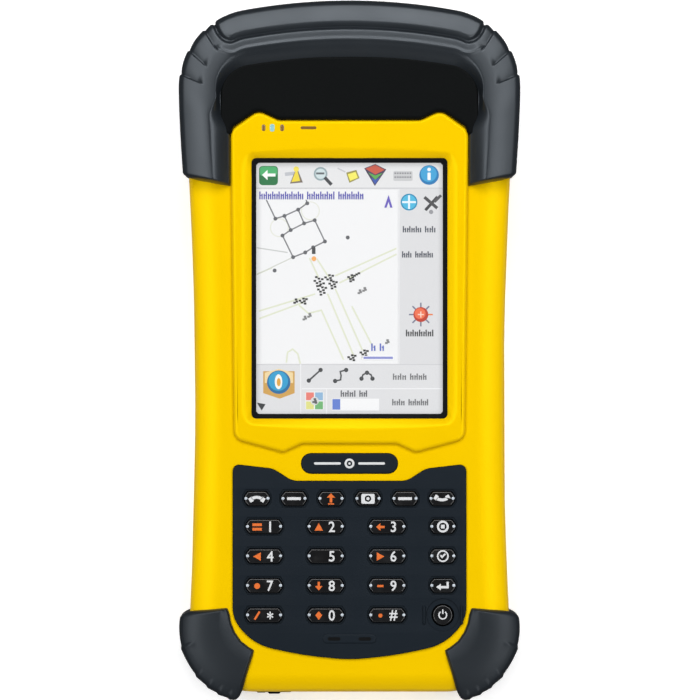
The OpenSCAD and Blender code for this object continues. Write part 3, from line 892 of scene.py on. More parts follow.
def top_bumper():
    """The rubber round the antenna end, lifted by the distance to a pad with rounded corners along its top:
    the pad is raised, a groove runs round it and a low bead round the groove. Three notches over each corner
    step down and fade out again. The stylus silo's mouth is bored through."""
    outer, inner = bumper_paths()
    far = smooth((inner[:, 1] - 58) / 7)
    rise = crown(box("top_bumper")[1][2] - 0.3, 7.6, 2.3, 2.2)
    rows, inset = rubber_rows(outer, inner, rise, 7.8 + 2.2 * far, 2.6, 25.3 + 1.2 * far, 0.6)
    along = travelled(outer)
    along = np.abs(along - along[-1] / 2)[None]  # from the middle of the antenna end
    across = np.where(rows[..., 2] < 20, rows[..., 2] - 20, inset)
    across = np.where(np.arange(len(rows))[:, None] < BACK_ROWS, -30, across)
    pad_length, pad_width, corner = 35.0, 6.3, 4.0
    past = np.stack(np.broadcast_arrays(along - pad_length + corner, across - pad_width + corner))
    gap = np.linalg.norm(np.maximum(past, 0), axis=0) + np.minimum(past.max(0), 0) - corner
    lift = 0.28 * smooth(-gap / 0.9) * smooth(inset / 1.5) - 0.70 * np.exp(-(((gap - 0.45) / 0.45) ** 2))
    lift += 0.2 * smooth((inset - 3) / 3) * np.exp(-(((gap - 3.6) / 0.42) ** 2))
    fade = 1 - smooth((inset - 5.0) / 1.8)
    for place in (38.8, 45.4, 51.9):  # each notch's step, along the edge
        lift -= 0.55 * fade * step(place - along, 0.5, 1.8)
    lift *= smooth(rows[..., 2] / 4)
    mesh = closed(grid_mesh(lifted(rows, lift), around=False, ring=True))
    piece = new_piece("top_bumper_rubber", mesh, ["rubber"], stands_for=["top_bumper"],
                      sharp=60)
    silo_low, silo_high = box("stylus")
    middle = (silo_low + silo_high) / 2
    bore(piece, (middle[0], 84.0, middle[2]), 3.0, 12.0)


def corner_guard(side):
    """One bottom corner guard, its outer edge scalloped by steps that fade out; side is 1 on the right, -1 on
    the left."""
    name = "bottom_bumper_right" if side > 0 else "bottom_bumper_left"
    radius = corner_radius() + casing_sizes().guard_proud
    angle = np.linspace(12.5, -79.3, 190)  # round the corner's centre
    outer = low_centre() + radius * np.stack([np.cos(np.radians(angle)), np.sin(np.radians(angle))], axis=1)
    bends = [(31.0, -65.3), (30.4, -67.0), (30.0, -69.2), (29.1, -71.5), (27.5, -73.8), (25.6, -75.3),
             (24.1, -76.2)]
    inner = evenly(np.array(bends), len(angle), closed=False)
    rise = crown(box(name)[1][2], 7.0, 2.2, 2.0, 2.1)
    rows, inset = rubber_rows(outer, inner, rise, 10.4, 0.5, 24.9, 0.9)
    lift = np.zeros(inset.shape)
    # each scallop's step, in degrees round the centre, and how far inwards it is cut
    for place, reach in ((-13.5, 3.0), (-38, 1.6), (-50, 1.6), (-60, 1.6), (-69, 1.6)):
        past = (place - angle[None]) * math.radians(radius)
        fade = 1 - smooth((inset - reach + 1.2) / 2.4)
        lift -= 0.5 * fade * step(past, 1.1, 2.0) * smooth(rows[..., 2] / 4)
    rows = lifted(rows, lift) * (side, 1, 1)
    new_piece(name + "_rubber", closed(grid_mesh(rows, around=False, ring=True)), ["guard rubber"],
              stands_for=[name], sharp=60)


def corner_guards():
    """Both guards."""
    corner_guard(1)
    corner_guard(-1)


def antenna_cap():
    """The dark cap inside the bumper, rounded towards the surround and tucked under the rubber elsewhere."""
    (_, _, low), (_, _, top) = box("antenna_cap")
    outline = evenly(rounded(cap_corners()), 500)
    under = np.maximum(smooth((outline[:, 1] - 60) / 6), smooth((np.abs(outline[:, 0]) - 29.5) / 1.5))
    outline = outline + outward(outline) * (under * 1.3 + 0.15)[:, None]
    rows = lofted(outline, [(low - 0.2, 0.05)] + quarter(top - 1.1, top, 1.1, 8) + [(top, 1.3)])
    new_piece("antenna_cap_cover", grid_mesh(rows, capped=True), ["cap"],
              stands_for=["antenna_cap"])


# ---------------------------------------------------------------- display


GOLDEN_ANGLE = 2.39996


class Picture:
    """Flat coloured shapes on the display, placed in mm across and down from the picture's upper left."""

    def __init__(self, corner, height):
        self.corner, self.height, self.level = np.array(corner, float), height, 0
        self.spots, self.faces, self.tones = [], [], []

    def shape(self, outline, tone):
        """One filled outline, a hair above the last one. A tone is a display's red, green and blue."""
        flat = self.corner + np.array(outline, float) * (1, -1)
        start = len(self.spots)
        self.level += 1
        height = self.height + 0.0012 * self.level
        self.spots += [(x, y, height) for x, y in flat.tolist()]
        across, along = flat.T
        turn = np.sum(across * np.roll(along, -1) - along * np.roll(across, -1))
        order = range(start, start + len(flat))
        self.faces.append(list(order) if turn > 0 else list(order)[::-1])
        self.tones.append([(part / 255) ** 2.2 for part in tone])

    def bar(self, left, top, right, bottom, tone, round_by=0.0):
        """A rectangle."""
        outline = rectangle((left, top), (right, bottom), round_by, 4)
        if not round_by:
            outline = [(left, top), (right, top), (right, bottom), (left, bottom)]
        self.shape(outline, tone)

    def disc(self, across, down, radius, tone, tall=1.0):
        """A filled circle, or an ellipse."""
        self.shape(arc((0, 0), radius, 0, 345, 24) * (1, tall) + (across, down), tone)

    def line(self, points, width, tone):
        """Straight strokes from point to point."""
        points = np.array(points, float)
        for first, last in zip(points[:-1], points[1:]):
            along = (last - first) / np.linalg.norm(last - first)
            side = np.array([-along[1], along[0]]) * width / 2
            grow = along * width * 0.3
            first, last = first - grow, last + grow
            self.shape([first - side, last - side, last + side, first + side], tone)

    def words(self, left, down, spans, height, tone):
        """A stand-in for words: short upright strokes, with gaps between spans."""
        for span in spans:
            strokes = max(int(span / 0.52), 1)
            for number in range(strokes):
                start = left + number * span / strokes
                tall = height * (1.0 if number % 3 == 0 else 0.72)
                self.bar(start, down + height / 2 - tall, start + 0.33, down + height / 2, tone)
                if number % 2:
                    self.bar(start - 0.24, down - 0.12, start + 0.05, down + 0.10, tone)
            left += span + 0.75

    def cluster(self, across, down, reach, count, tone):
        """A knot of small marks, spread by the golden angle."""
        for number in range(count):
            angle = number * GOLDEN_ANGLE
            far = reach * math.sqrt((number + 0.5) / count)
            x, y = across + far * math.cos(angle), down + far * math.sin(angle)
            self.bar(x - 0.33, y - 0.25, x + 0.33, y + 0.25, tone)

    def mesh(self):
        """The shapes as one mesh, with their colours in a face-corner attribute."""
        mesh = bpy.data.meshes.new("picture")
        mesh.from_pydata((np.array(self.spots) * MM).tolist(), [], self.faces)
        mesh.update()
        drawn = mesh.color_attributes.new("drawn", "FLOAT_COLOR", "CORNER")
        tones = np.concatenate([np.array(self.tones), np.ones((len(self.tones), 1))], axis=1)
        counts = [len(face) for face in self.faces]
        drawn.data.foreach_set("color", np.repeat(tones, counts, axis=0).astype(np.float32).ravel())
        return mesh


GREY_LINE = (120, 120, 124)
DARK_MARK = (52, 50, 48)
ROAD = (222, 226, 202)
BLUE_WORDS = (76, 72, 168)
DARK_WORDS = (82, 84, 94)


def draw_tool_row(p, width):
    """The upper tool row: back arrow, peg, magnifier, tag, layered stack, keypad and help signs."""
    p.bar(0, 0, width, 6.6, (228, 228, 229))
    p.bar(0, 6.3, width, 6.6, (205, 205, 208))
    p.bar(0.75, 0.8, 5.55, 5.7, (24, 112, 60), 0.9)
    p.bar(0.95, 0.95, 5.35, 3.4, (70, 172, 104), 0.8)
    p.line([(2.3, 3.1), (4.7, 3.1)], 0.75, (250, 252, 250))
    p.shape([(1.5, 3.1), (2.9, 1.8), (2.9, 4.4)], (250, 252, 250))
    p.line([(7.6, 2.9), (9.4, 2.7)], 0.9, (188, 190, 196))
    p.shape([(10.3, 1.0), (11.9, 5.0), (8.6, 5.3)], (120, 108, 96))
    p.shape([(10.3, 1.3), (11.2, 4.6), (9.0, 4.9)], (240, 216, 60))
    p.disc(10.2, 1.6, 0.7, (244, 224, 90))
    p.disc(16.4, 2.8, 1.75, (150, 168, 172))
    p.disc(16.4, 2.8, 1.3, (206, 222, 224))
    p.line([(15.4, 2.7), (17.2, 2.7)], 0.5, (96, 100, 104))
    p.line([(17.6, 3.9), (19.0, 5.4)], 0.85, (62, 62, 66))
    p.line([(20.8, 1.4), (22.6, 2.3)], 0.35, (196, 196, 200))
    p.shape([(22.9, 2.5), (25.5, 1.8), (26.3, 3.9), (23.7, 5.1)], (150, 142, 70))
    p.shape([(23.3, 2.9), (25.3, 2.3), (25.9, 3.8), (23.9, 4.6)], (246, 236, 96))
    p.shape([(27.5, 1.4), (30.3, 0.3), (33.1, 1.7), (30.2, 5.9)], (70, 58, 84))
    p.shape([(27.8, 1.5), (30.3, 0.5), (32.7, 1.8), (30.3, 3.0)], (200, 84, 62))
    p.shape([(28.5, 2.5), (30.3, 3.2), (32.2, 2.6), (30.3, 4.3)], (92, 168, 78))
    p.shape([(29.1, 3.7), (30.3, 4.3), (31.5, 3.7), (30.3, 5.5)], (60, 86, 170))
    p.bar(34.9, 2.1, 39.8, 4.6, (200, 200, 202), 0.4)
    for row in range(2):
        for column in range(7):
            left, top = 35.2 + column * 0.64, 2.45 + row
            p.bar(left, top, left + 0.4, top + 0.4, (130, 130, 134))
    p.disc(44.0, 3.1, 2.5, (22, 118, 178))
    p.disc(43.9, 2.8, 2.05, (58, 160, 214))
    p.bar(43.6, 2.5, 44.4, 4.4, (244, 248, 250), 0.2)
    p.disc(44.0, 1.7, 0.45, (244, 248, 250))


def draw_map(p, edge, low):
    """The site plan: a building's outline with its corner points, roads, surveyed marks and a scale."""
    p.bar(0, 6.6, edge, low, (240, 240, 241))
    for road in ([(0.3, 28.3), (4.0, 26.7)], [(20.2, 28.7), (35.6, 21.8)], [(21.3, 30.5), (35.6, 23.3)],
                 [(13.6, 24.3), (15.8, 29.0)], [(15.5, 24.5), (18.4, 29.0)], [(0.8, 37.7), (14.9, 33.4)],
                 [(0.9, 39.6), (12.0, 35.5)], [(11.0, 36.3), (13.3, 38.3), (16.6, 37.5), (22.2, 50.0)],
                 [(18.2, 33.4), (24.8, 49.0)], [(20.2, 32.2), (27.0, 47.6)], [(24.4, 36.6), (29.6, 46.6)],
                 [(7.7, 50.7), (8.0, 48.2), (9.3, 47.4), (10.6, 48.6), (11.2, 51.0)]):
        p.line(road, 0.42, ROAD)
    for across, down in ((13.8, 12.2), (5.9, 16.5)):
        p.disc(across, down, 2.4, (226, 227, 214))
        p.disc(across, down, 2.15, (240, 240, 241))
    p.line([(0.2, 21.6), (7.9, 22.8)], 0.28, (196, 198, 196))
    p.line([(0.2, 28.4), (9.4, 24.0)], 0.28, (206, 208, 200))
    walls = [
        [(2.3, 8.8), (4.9, 14.2), (7.2, 13.5), (10.7, 11.9), (13.0, 10.3), (12.7, 9.4)],
        [(7.2, 13.5), (8.8, 17.1), (12.2, 15.4), (10.7, 11.9)],
        [(6.7, 18.5), (8.8, 17.1), (12.2, 15.4), (14.9, 14.6), (17.5, 20.0), (14.5, 21.5), (12.5, 22.8),
         (9.4, 24.0), (6.7, 18.5)],
    ]
    for wall in walls:
        p.line(wall, 0.34, GREY_LINE)
    corners = {spot for wall in walls for spot in wall[1:]} - {(12.7, 9.4)}
    for across, down in sorted(corners) + [(23.3, 19.0), (4.7, 27.4)]:
        p.disc(across, down, 0.5, (96, 96, 100))
    p.bar(14.2, 21.5, 15.1, 23.2, (66, 66, 68))
    p.disc(14.7, 24.4, 0.62, (244, 170, 96))
    marks = [(15.9, 30.2, 1.4, 9), (16.8, 32.4, 1.3, 8), (18.6, 29.3, 1.1, 6), (19.6, 30.9, 1.2, 8),
             (24.3, 29.2, 1.0, 7), (25.9, 28.1, 0.5, 2), (12.0, 35.2, 1.0, 6), (10.1, 35.3, 0.6, 3),
             (27.5, 48.4, 1.1, 7), (24.4, 49.6, 1.0, 6)]
    for across, down, reach, count in marks:
        p.cluster(across, down, reach, count, DARK_MARK)
    for across, down in ((26.4, 32.9), (27.6, 32.3), (12.4, 39.6), (13.6, 38.9), (33.4, 45.6)):
        p.cluster(across, down, 0.5, 3, (128, 128, 128))
    p.bar(0.5, 7.0, 28.0, 9.4, (240, 240, 241))
    p.words(0.8, 8.3, [11.4, 7.2, 6.6], 2.0, BLUE_WORDS)
    p.shape([(33.7, 8.2), (34.7, 11.4), (32.6, 11.4)], (104, 90, 186))
    p.shape([(33.7, 10.0), (34.1, 11.4), (33.2, 11.4)], (240, 240, 241))
    p.words(29.3, 46.9, [1.4, 1.4], 1.9, (80, 96, 190))
    p.bar(27.0, 49.1, 35.0, 50.1, (248, 248, 250))
    p.bar(27.3, 49.3, 34.8, 49.9, (138, 144, 206))


def draw_side_column(p, edge, width, low):
    """The right column: target and satellite signs, two readings, and the measuring button with its label."""
    p.bar(edge, 6.6, width, low, (219, 219, 221))
    p.bar(edge, 6.6, edge + 0.3, low, (232, 232, 234))
    p.disc(38.9, 10.0, 2.15, (36, 138, 180))
    p.disc(38.9, 10.0, 1.8, (74, 182, 222))
    p.line([(37.3, 10.0), (40.5, 10.0)], 0.5, (232, 244, 250))
    p.line([(38.9, 8.4), (38.9, 11.6)], 0.5, (232, 244, 250))
    p.line([(43.2, 11.9), (46.0, 8.8)], 0.75, (60, 58, 60))
    p.line([(43.0, 8.9), (45.9, 11.4)], 0.8, (72, 70, 72))
    p.line([(45.5, 9.8), (46.9, 8.4)], 0.7, (84, 82, 84))
    p.disc(44.5, 12.5, 0.55, (150, 150, 154))
    p.words(37.3, 16.9, [4.9, 2.9], 1.6, DARK_WORDS)
    p.words(37.1, 23.3, [2.6, 4.7], 1.6, DARK_WORDS)
    centre = np.array([41.9, 38.6])
    for number in range(8):
        ray = np.array([math.cos(number * math.pi / 4), math.sin(number * math.pi / 4)])
        tone = (116, 118, 140) if number else (236, 120, 60)
        p.line([centre + ray * 1.9, centre + ray * 2.9], 0.36, tone)
    p.disc(*centre, 1.9, (188, 52, 24))
    p.disc(*(centre - (0.2, 0.25)), 1.4, (238, 108, 70))
    p.line([centre - (0.7, 0), centre + (0.7, 0)], 0.28, (250, 214, 196))
    p.line([centre - (0, 0.7), centre + (0, 0.7)], 0.28, (250, 214, 196))
    p.words(38.1, 43.3, [7.2], 1.7, (66, 64, 66))


def draw_lower_rows(p, width, low, foot):
    """The two lower rows: the map sign, line tools, a colour sign and an entry box."""
    p.bar(0, low, width, foot, (221, 221, 223))
    p.bar(0, low, width, low + 0.25, (206, 206, 209))
    p.bar(11.6, 57.3, width, 57.6, (238, 238, 240))
    for across in (11.2, 17.8):
        p.bar(across, low if across < 12 else 57.6, across + 0.25, foot, (236, 236, 238))
    p.shape([(1.8, 53.0), (9.8, 53.0), (9.8, 58.6), (6.0, 60.0), (1.8, 58.6)], (206, 158, 78))
    p.shape([(2.2, 53.4), (5.8, 52.4), (9.4, 53.4), (9.4, 56.0), (2.2, 56.0)], (240, 214, 160))
    p.disc(5.75, 55.8, 3.0, (14, 104, 156))
    p.disc(5.65, 55.5, 2.5, (40, 154, 204))
    p.disc(5.7, 55.7, 0.95, (246, 246, 236), 2.0)
    p.disc(5.75, 55.8, 0.5, (224, 160, 56), 2.1)
    p.line([(13.4, 55.4), (16.4, 52.7)], 0.45, (74, 74, 76))
    for across, down in ((13.4, 55.4), (16.4, 52.7), (20.1, 55.5), (22.9, 52.7), (26.8, 54.9), (28.2, 53.4),
                         (29.6, 54.9)):
        p.disc(across, down, 0.55, (58, 58, 60))
    p.line([(20.1, 55.5), (21.5, 55.2), (21.6, 54.1), (21.4, 53.1), (22.9, 52.7)], 0.4, (74, 74, 76))
    p.line([(26.8, 54.9), (27.2, 53.9), (28.2, 53.4), (29.2, 53.9), (29.6, 54.9)], 0.4, (74, 74, 76))
    p.words(34.8, 54.4, [3.6, 4.4], 1.6, (112, 112, 114))
    p.words(34.6, 60.9, [3.4, 5.2], 1.6, (112, 112, 114))
    p.bar(12.5, 58.2, 17.2, 62.9, (236, 238, 236), 0.5)
    for left, top, tone in ((12.7, 58.4, (232, 124, 112)), (15.0, 58.4, (142, 180, 214)),
                            (12.7, 60.7, (224, 222, 132)), (15.0, 60.7, (110, 178, 112))):
        p.bar(left, top, left + 2.0, top + 2.0, tone)
    p.disc(14.9, 60.6, 1.05, (214, 216, 214))
    p.cluster(14.9, 60.6, 0.6, 4, (90, 90, 92))
    p.words(21.5, 58.7, [4.0, 2.2], 1.6, (100, 100, 104))
    p.bar(19.3, 60.0, 31.3, 63.0, (244, 244, 245))
    p.bar(19.4, 60.1, 21.4, 62.8, (96, 124, 206))
    p.shape([(0.2, 61.0), (2.4, 61.4), (1.4, 63.0)], (48, 48, 50))


def display():
    """The black gasket, the touch glass with its rounded edge, and the lit picture under it."""
    (_, _, foot), (_, _, top) = box("touch_glass")
    rows = lofted(evenly(node_outline("touch_glass", 0, 1.3), 240),
                  [(foot, 0.15), (foot + 0.15, 0), (top - 0.2, 0)] + quarter(top - 0.2, top, 0.2, 5)
                  + [(top, 0.4)])
    new_piece("touch_glass_sheet", grid_mesh(rows, capped=True), ["glass"],
              stands_for=["touch_glass"])
    gasket_low, gasket_high = box("display_gasket")
    picture_low, picture_high = gasket_low[:2] + 2.25, gasket_high[:2] - 2.25
    centre = (picture_low + picture_high) / 2
    outer, inner = (by_rays(node_outline("display_gasket", gap, radius), centre, 320)
                    for gap, radius in ((0, 1.5), (-2.3, 0.7)))
    low, high = gasket_low[2], gasket_high[2]
    section = ((0, low), (0, high - 0.15), (0.03, high), (0.9, high), (1, high - 0.12), (1, low))
    rows = np.stack([at_height(outer * (1 - t) + inner * t, height) for t, height in section])
    new_piece("display_gasket_frame", grid_mesh(rows, ring=True), ["soft black"],
              stands_for=["display_gasket"])
    p = Picture((picture_low[0], picture_high[1]), foot + 0.05)
    width, height = picture_high - picture_low
    edge, low_row = width * 0.762, height * 0.801  # where the side column and the lower rows start
    draw_map(p, edge, low_row)
    draw_tool_row(p, width)
    draw_side_column(p, edge, width, low_row)
    draw_lower_rows(p, width, low_row, height)
    new_piece("display_picture", p.mesh(), ["picture"])


# ---------------------------------------------------------------- badge, keypad and keys


def badge():
    """The slate pill: rounded ends, and a plain inlaid mark of a ring between two lines."""
    low, high = box("badge_plate")
    top = high[2]
    rows = lofted(evenly(node_outline("badge_plate", 0, 2.5, 16), 160),
                  [(low[2], 0)] + quarter(top - 0.35, top, 0.5, 7) + [(top, 0.65)])
    middle = (low[:2] + high[:2]) / 2
    loops = [disc(radius) + middle for radius in (1.25, 0.72, 0.3)]
    for side in (-1, 1):
        loops.append(rectangle(middle + (side * 5.6 - 3.4, -0.3), middle + (side * 5.6 + 3.4, 0.3), 0.29))
    mark = plate_mesh(loops, top - 0.2, top + 0.03, 0.01, 1)
    new_piece("badge_pill", joined([[grid_mesh(rows, capped=True)], [mark]]), ["slate", "white"],
              stands_for=["badge_plate"])


def key_outline(width, height):
    """A key from above: an octagon with long level sides, its corners eased."""
    w, h, ease, nip = width / 2, height / 2, 0.5, 0.9
    return rounded([(w, -h * 0.4, ease), (w, h * 0.4, ease), (w - nip, h, ease), (nip - w, h, ease),
                    (-w, h * 0.4, ease), (-w, -h * 0.4, ease), (nip - w, -h, ease), (w - nip, -h, ease)], 4)


def key_nodes():
    """Each key node's name, middle, and size above its flange."""
    for node in sorted(name for name in frame["nodes"] if name.startswith("key_")):
        low, high = box(node)
        yield node, (low[:2] + high[:2]) / 2, high[:2] - low[:2] - 1.0


def keypad_panel():
    """The slate panel: an opening with a sunk rim round every key, a raised boss with two slots for the
    microphone, drawn as flat soft-black plates of painted shade, and two guard ribs by the power key."""
    (_, _, low), (_, _, top) = box("keypad_panel")
    outline = evenly(rounded(keypad_corners()), 420)
    holes, wells = [], []
    for node, middle, size in key_nodes():
        if node == "key_power":
            power = middle
            holes.append(disc(2.9, *middle, 64))
            wells.append(disc(4.2, *middle, 64))
        else:
            holes.append(key_outline(*(size + 0.24)) + middle)
            wells.append(key_outline(*(size + 1.0)) + middle)
    rim, level = top - 0.35, top + 0.25
    solids = [plate_mesh([outline] + wells, rim, top, 0.12),
              plate_mesh([grown(outline, -0.05)] + holes, low, rim)]
    boss = evenly(rectangle((-6.8, -74.4), (6.8, -72.0), 1.1), 160)
    rows = lofted(boss, [(top - 0.3, -0.2)] + quarter(level - 0.25, level, 0.5, 6) + [(level, 0.7)])
    solids.append(grid_mesh(rows, capped=True))
    for side in (-1, 1):
        centre = power + (side * 4.75, 0)
        rib = evenly(rectangle(centre - (0.35, 2.4), centre + (0.35, 2.4), 0.3), 60)
        rows = lofted(rib, [(top - 0.3, -0.1)] + quarter(top, top + 0.55, 0.3, 6))
        solids.append(grid_mesh(rows, capped=True))
    # the microphone's two slots are not cut: flat soft-black plates paint the shade inside them
    slots = [rectangle((side * 3.9 - 1.6, -73.7), (side * 3.9 + 1.6, -72.8), 0.42) for side in (-1, 1)]
    dark = [plate_mesh([slot], level - 0.2, level + 0.02) for slot in slots]
    new_piece("keypad_plate", joined([solids, dark]), ["slate", "soft black"],
              stands_for=["keypad_panel"])


PRINT_DEPTH, PRINT_RISE = 0.15, 0.02


def numeral(text, height, middle, top):
    """A numeral, or a star or hash sign, as a thin plate whose upper face is just above a key."""
    sign = bpy.data.curves.new("sign", "FONT")
    sign.body, sign.align_x, sign.size = text, "CENTER", 1.0
    sign.extrude, sign.offset, sign.resolution_u = 0.02, 0.015, 4
    mesh = curve_to_mesh(sign, (0, 0, 0))
    spots = spots_of(mesh)
    low, high = spots.min(0), spots.max(0)
    scale = height / (high[1] - low[1])
    flat = (spots[:, :2] - (low[:2] + high[:2]) / 2) * scale * (0.92, 1) + middle
    level = np.where(spots[:, 2] > 0, top + PRINT_RISE, top - PRINT_DEPTH)
    move_spots(mesh, np.concatenate([flat, level[:, None]], axis=1) * MM)
    mesh.update()
    return mesh


def bar_sign(width, height, x=0.0, y=0.0):
    """A level bar."""
    w, h = width / 2, height / 2
    return [(x - w, y - h), (x + w, y - h), (x + w, y + h), (x - w, y + h)]


def turned(outline, degrees):
    """An outline turned about the origin."""
    cosine, sine = math.cos(math.radians(degrees)), math.sin(math.radians(degrees))
    return np.array(outline, float) @ np.array([[cosine, sine], [-sine, cosine]])


def arrow_sign(turn, shaft=0.9):
    """An arrow that points up, then is turned."""
    neck = shaft - 0.9
    return turned([(-0.32, -1.15), (0.32, -1.15), (0.32, neck), (1.05, neck), (0, 1.2), (-1.05, neck),
                   (-0.32, neck)], turn)


def triangle_sign(turn):
    """A triangle that points up, then is turned."""
    return turned([(-1.15, -1.0), (1.15, -1.0), (0, 1.1)], turn)


def handset_sign(turn):
    """A telephone handset: an arched grip with two ends."""
    grip = np.concatenate([arc((0, -2.2), 2.9, 122, 58, 14), arc((0, -2.2), 2.15, 62, 118, 14)])
    ends = [turned(bar_sign(0.95, 1.2), side * 32) + (side * -1.5, -0.3) for side in (-1, 1)]
    return [turned(part, turn) for part in [grip] + ends]


DASH = [rectangle((-1.75, -0.36), (1.75, 0.36), 0.15)]

# what a key shows in place of a numeral
SMALL_SIGNS = {
    "send": ("white", handset_sign(0)),
    "end": ("white", handset_sign(180)),
    "soft_left": ("white", DASH),
    "soft_right": ("white", DASH),
    "fn": ("orange", [arrow_sign(0, 1.0) + (0, 0.15), bar_sign(1.5, 0.3, 0, -1.35)]),
    "camera": ("white", [rectangle((-1.7, -1.3), (1.7, 1.2), 0.4), disc(0.82), disc(0.4)]),
    "start": ("white", [disc(1.5), disc(0.98), bar_sign(0.95, 0.95)]),
    "ok": ("white", [disc(1.5), disc(1.12), [(-0.75, 0.1), (-0.45, 0.4), (-0.2, 0.05), (0.5, 0.75),
                                             (0.78, 0.45), (-0.2, -0.6)]]),
    "enter": ("white", [[(-1.7, -0.35), (-0.5, -1.2), (-0.5, -0.68), (1.5, -0.68), (1.5, 1.0), (0.95, 1.0),
                         (0.95, -0.08), (-0.5, -0.08), (-0.5, 0.5)]]),
    "power": ("white", [np.concatenate([arc((0, 0), 1.15, 125, 415, 32), arc((0, 0), 0.82, 415, 125, 32)]),
                        bar_sign(0.34, 1.15, 0, 0.85)]),
}

# the second sign, left of a numeral
ORANGE_SIGNS = {
    "1": [bar_sign(2.6, 0.75, 0, 0.62), bar_sign(2.6, 0.75, 0, -0.62)],
    "2": [triangle_sign(0)],
    "3": [arrow_sign(90)],
    "4": [triangle_sign(90)],
    "6": [triangle_sign(-90)],
    "7": [disc(0.8)],
    "8": [arrow_sign(180)],
    "9": [bar_sign(1.7, 0.6)],
    "star": [turned(bar_sign(0.55, 2.6), -32)],
    "0": [[(0, -1.2), (0.95, 0.1), (0, 1.2), (-0.95, 0.1)]],
    "hash": [disc(0.55)],
}


def key(node, middle, size):
    """One key: a glossy cap with eased edges, its printed signs, and pale dots at a long key's ends, which
    are painted highlights of the ends catching the light.
    """
    s = key_sizes()
    name = node.removeprefix("key_")
    (_, _, flange), (_, _, high) = box(node)
    top = high - 0.3
    power = name == "power"
    outline = disc(min(size) / 2, *middle, 72) if power else evenly(key_outline(*size), 96) + middle
    profile = [(flange, -0.5), (flange + 0.55, -0.5), (flange + 0.6, 0), (top - 0.5, 0)]
    profile += quarter(top - 0.5, top, s.chamfer, 8) + [(top, s.chamfer + 0.12)]
    cap = grid_mesh(lofted(outline, profile), capped=True)
    parts = {"key": [cap], "white": [], "orange": [], "painted highlight dot": []}
    if name in SMALL_SIGNS:
        tone, loops = SMALL_SIGNS[name]
        loops = [np.array(loop) + middle for loop in loops]
        parts[tone].append(plate_mesh(loops, top - PRINT_DEPTH, top + PRINT_RISE))
    else:
        text = {"star": "*", "hash": "#"}.get(name, name)
        height = s.sign_height * (0.72 if name == "star" else 1.0)
        parts["white"].append(numeral(text, height, middle + (s.number_shift, -0.05), top))
    if name in ORANGE_SIGNS:
        loops = [np.array(loop) * 0.92 + middle + (-s.orange_shift, -0.1) for loop in ORANGE_SIGNS[name]]
        parts["orange"].append(plate_mesh(loops, top - PRINT_DEPTH, top + PRINT_RISE))
    # a pale dome at each end of a long key: a painted highlight where the ends' chamfers catch the light
    for side in () if power else (-1, 1):
        spot = middle + (side * (size[0] / 2 - 0.42), 0.05)
        parts["painted highlight dot"].append(bead(spot, s.bead, top - 0.08))
    parts = {finish: meshes for finish, meshes in parts.items() if meshes}
    new_piece(node + "_cap", joined(parts.values()), parts, node, [node], sharp=60)


def bead(middle, radius, height):
    """A small dome: rows of circles that shrink by the cosine of their height's angle."""
    angle = np.linspace(0, math.pi / 2 - 0.15, 6)
    dome = list(zip(height + radius * 0.45 * np.sin(angle), radius * (1 - np.cos(angle))))
    return grid_mesh(lofted(disc(radius, *middle, 20), [(height - 0.2, 0)] + dome), capped=True)


def keys():
    """Every key of the keypad."""
    for node, middle, size in key_nodes():
        key(node, middle, size)


# ---------------------------------------------------------------- back, sides and insides


def plain_nodes():
    """Gives eased edges and a finish to the pieces whose CAD shape is right."""
    for node, finish, slot, width in (
        ("rear_housing", "yellow", "yellow_plastic", 0.25),
        ("battery_door", "battery", "battery_plastic", 0.3),
        ("door_fastener_upper", "dark steel", "dark_steel", 0.12),
        ("door_fastener_lower", "dark steel", "dark_steel", 0.12),
        ("camera_window", "window", "window_glass", 0.15),
        ("flash_lens", "flash", "flash_plastic", 0.15),
        ("side_port_cover", "soft black", "black_rubber", 0.25),
        ("charge_cover", "soft black", "black_rubber", 0.25),
        ("stylus", "battery", "battery_plastic", 0.15),
        ("volume_rocker", "soft black", "black_rubber", 0.25),
        ("side_button", "soft black", "black_rubber", 0.25),
        ("housing_screws", "dark steel", "dark_steel", 0.08),
    ):
        dressed(node, finish, width)


def cover_ribs():
    """Three rounded ribs on the charging cover's pull tab, which show below the casing's edge."""
    (_, low, foot), (_, _, top) = box("charge_cover")
    upper = quarter(top - 0.9, top - 0.3, 0.6, 6)
    lower = [(foot + 0.6 + (top - 0.3 - level), inset) for level, inset in upper[::-1]]
    ribs = []
    for left, right, proud in ((-23.9, -21.3, 0.1), (-20.9, -17.7, 0.4), (-16.5, -14.8, 0.0)):
        outline = evenly(rectangle((left, low - proud), (right, low + 1.0), 0.5), 60)
        ribs.append(grid_mesh(lofted(outline, lower + upper), capped=True))
    new_piece("charge_cover_ribs", joined([ribs]), ["soft black"], "charge_cover")


def inside_nodes():
    """Pieces inside the casing keep their CAD shape and get a finish."""
    for finish, nodes in {
        "soft black": ("housing_seal", "door_seal"),
        "battery": ("lcd_module", "earpiece", "camera_module", "speaker", "battery_pack", "headset_jack"),
        "silicone": ("keypad_mat",),
        "steel": ("dome_sheet", "usb_socket", "charge_socket"),
        "board": ("keypad_board", "main_board"),
        "ceramic": ("gps_antenna",),
    }.items():
        for node in nodes:
            materials = frame["nodes"][node].data.materials
            materials.clear()
            materials.append(paint(finish))


# ---------------------------------------------------------------- stage


def strip_light(name, place, size, power):
    """A rectangular soft light that faces the object's middle."""
    lamp = bpy.data.lights.new(name, "AREA")
    lamp.shape, lamp.size, lamp.size_y, lamp.energy = "RECTANGLE", size[0], size[1], power
    light = placed(name, lamp)
    light.location = place
    light.rotation_euler = (Vector(place) - Vector((0, 0, 0.02))).to_track_quat("Z", "Y").to_euler()


def floor():
    """A pale floor under the object, which shiny surfaces don't mirror."""
    reach = 1400.0
    corners = np.array([[(-reach, -reach, 0), (reach, -reach, 0)], [(-reach, reach, 0), (reach, reach, 0)]])
    mesh = grid_mesh(corners, around=False)
    mesh.materials.append(paint("floor"))
    plane = placed("floor", mesh)
    plane.visible_glossy = False


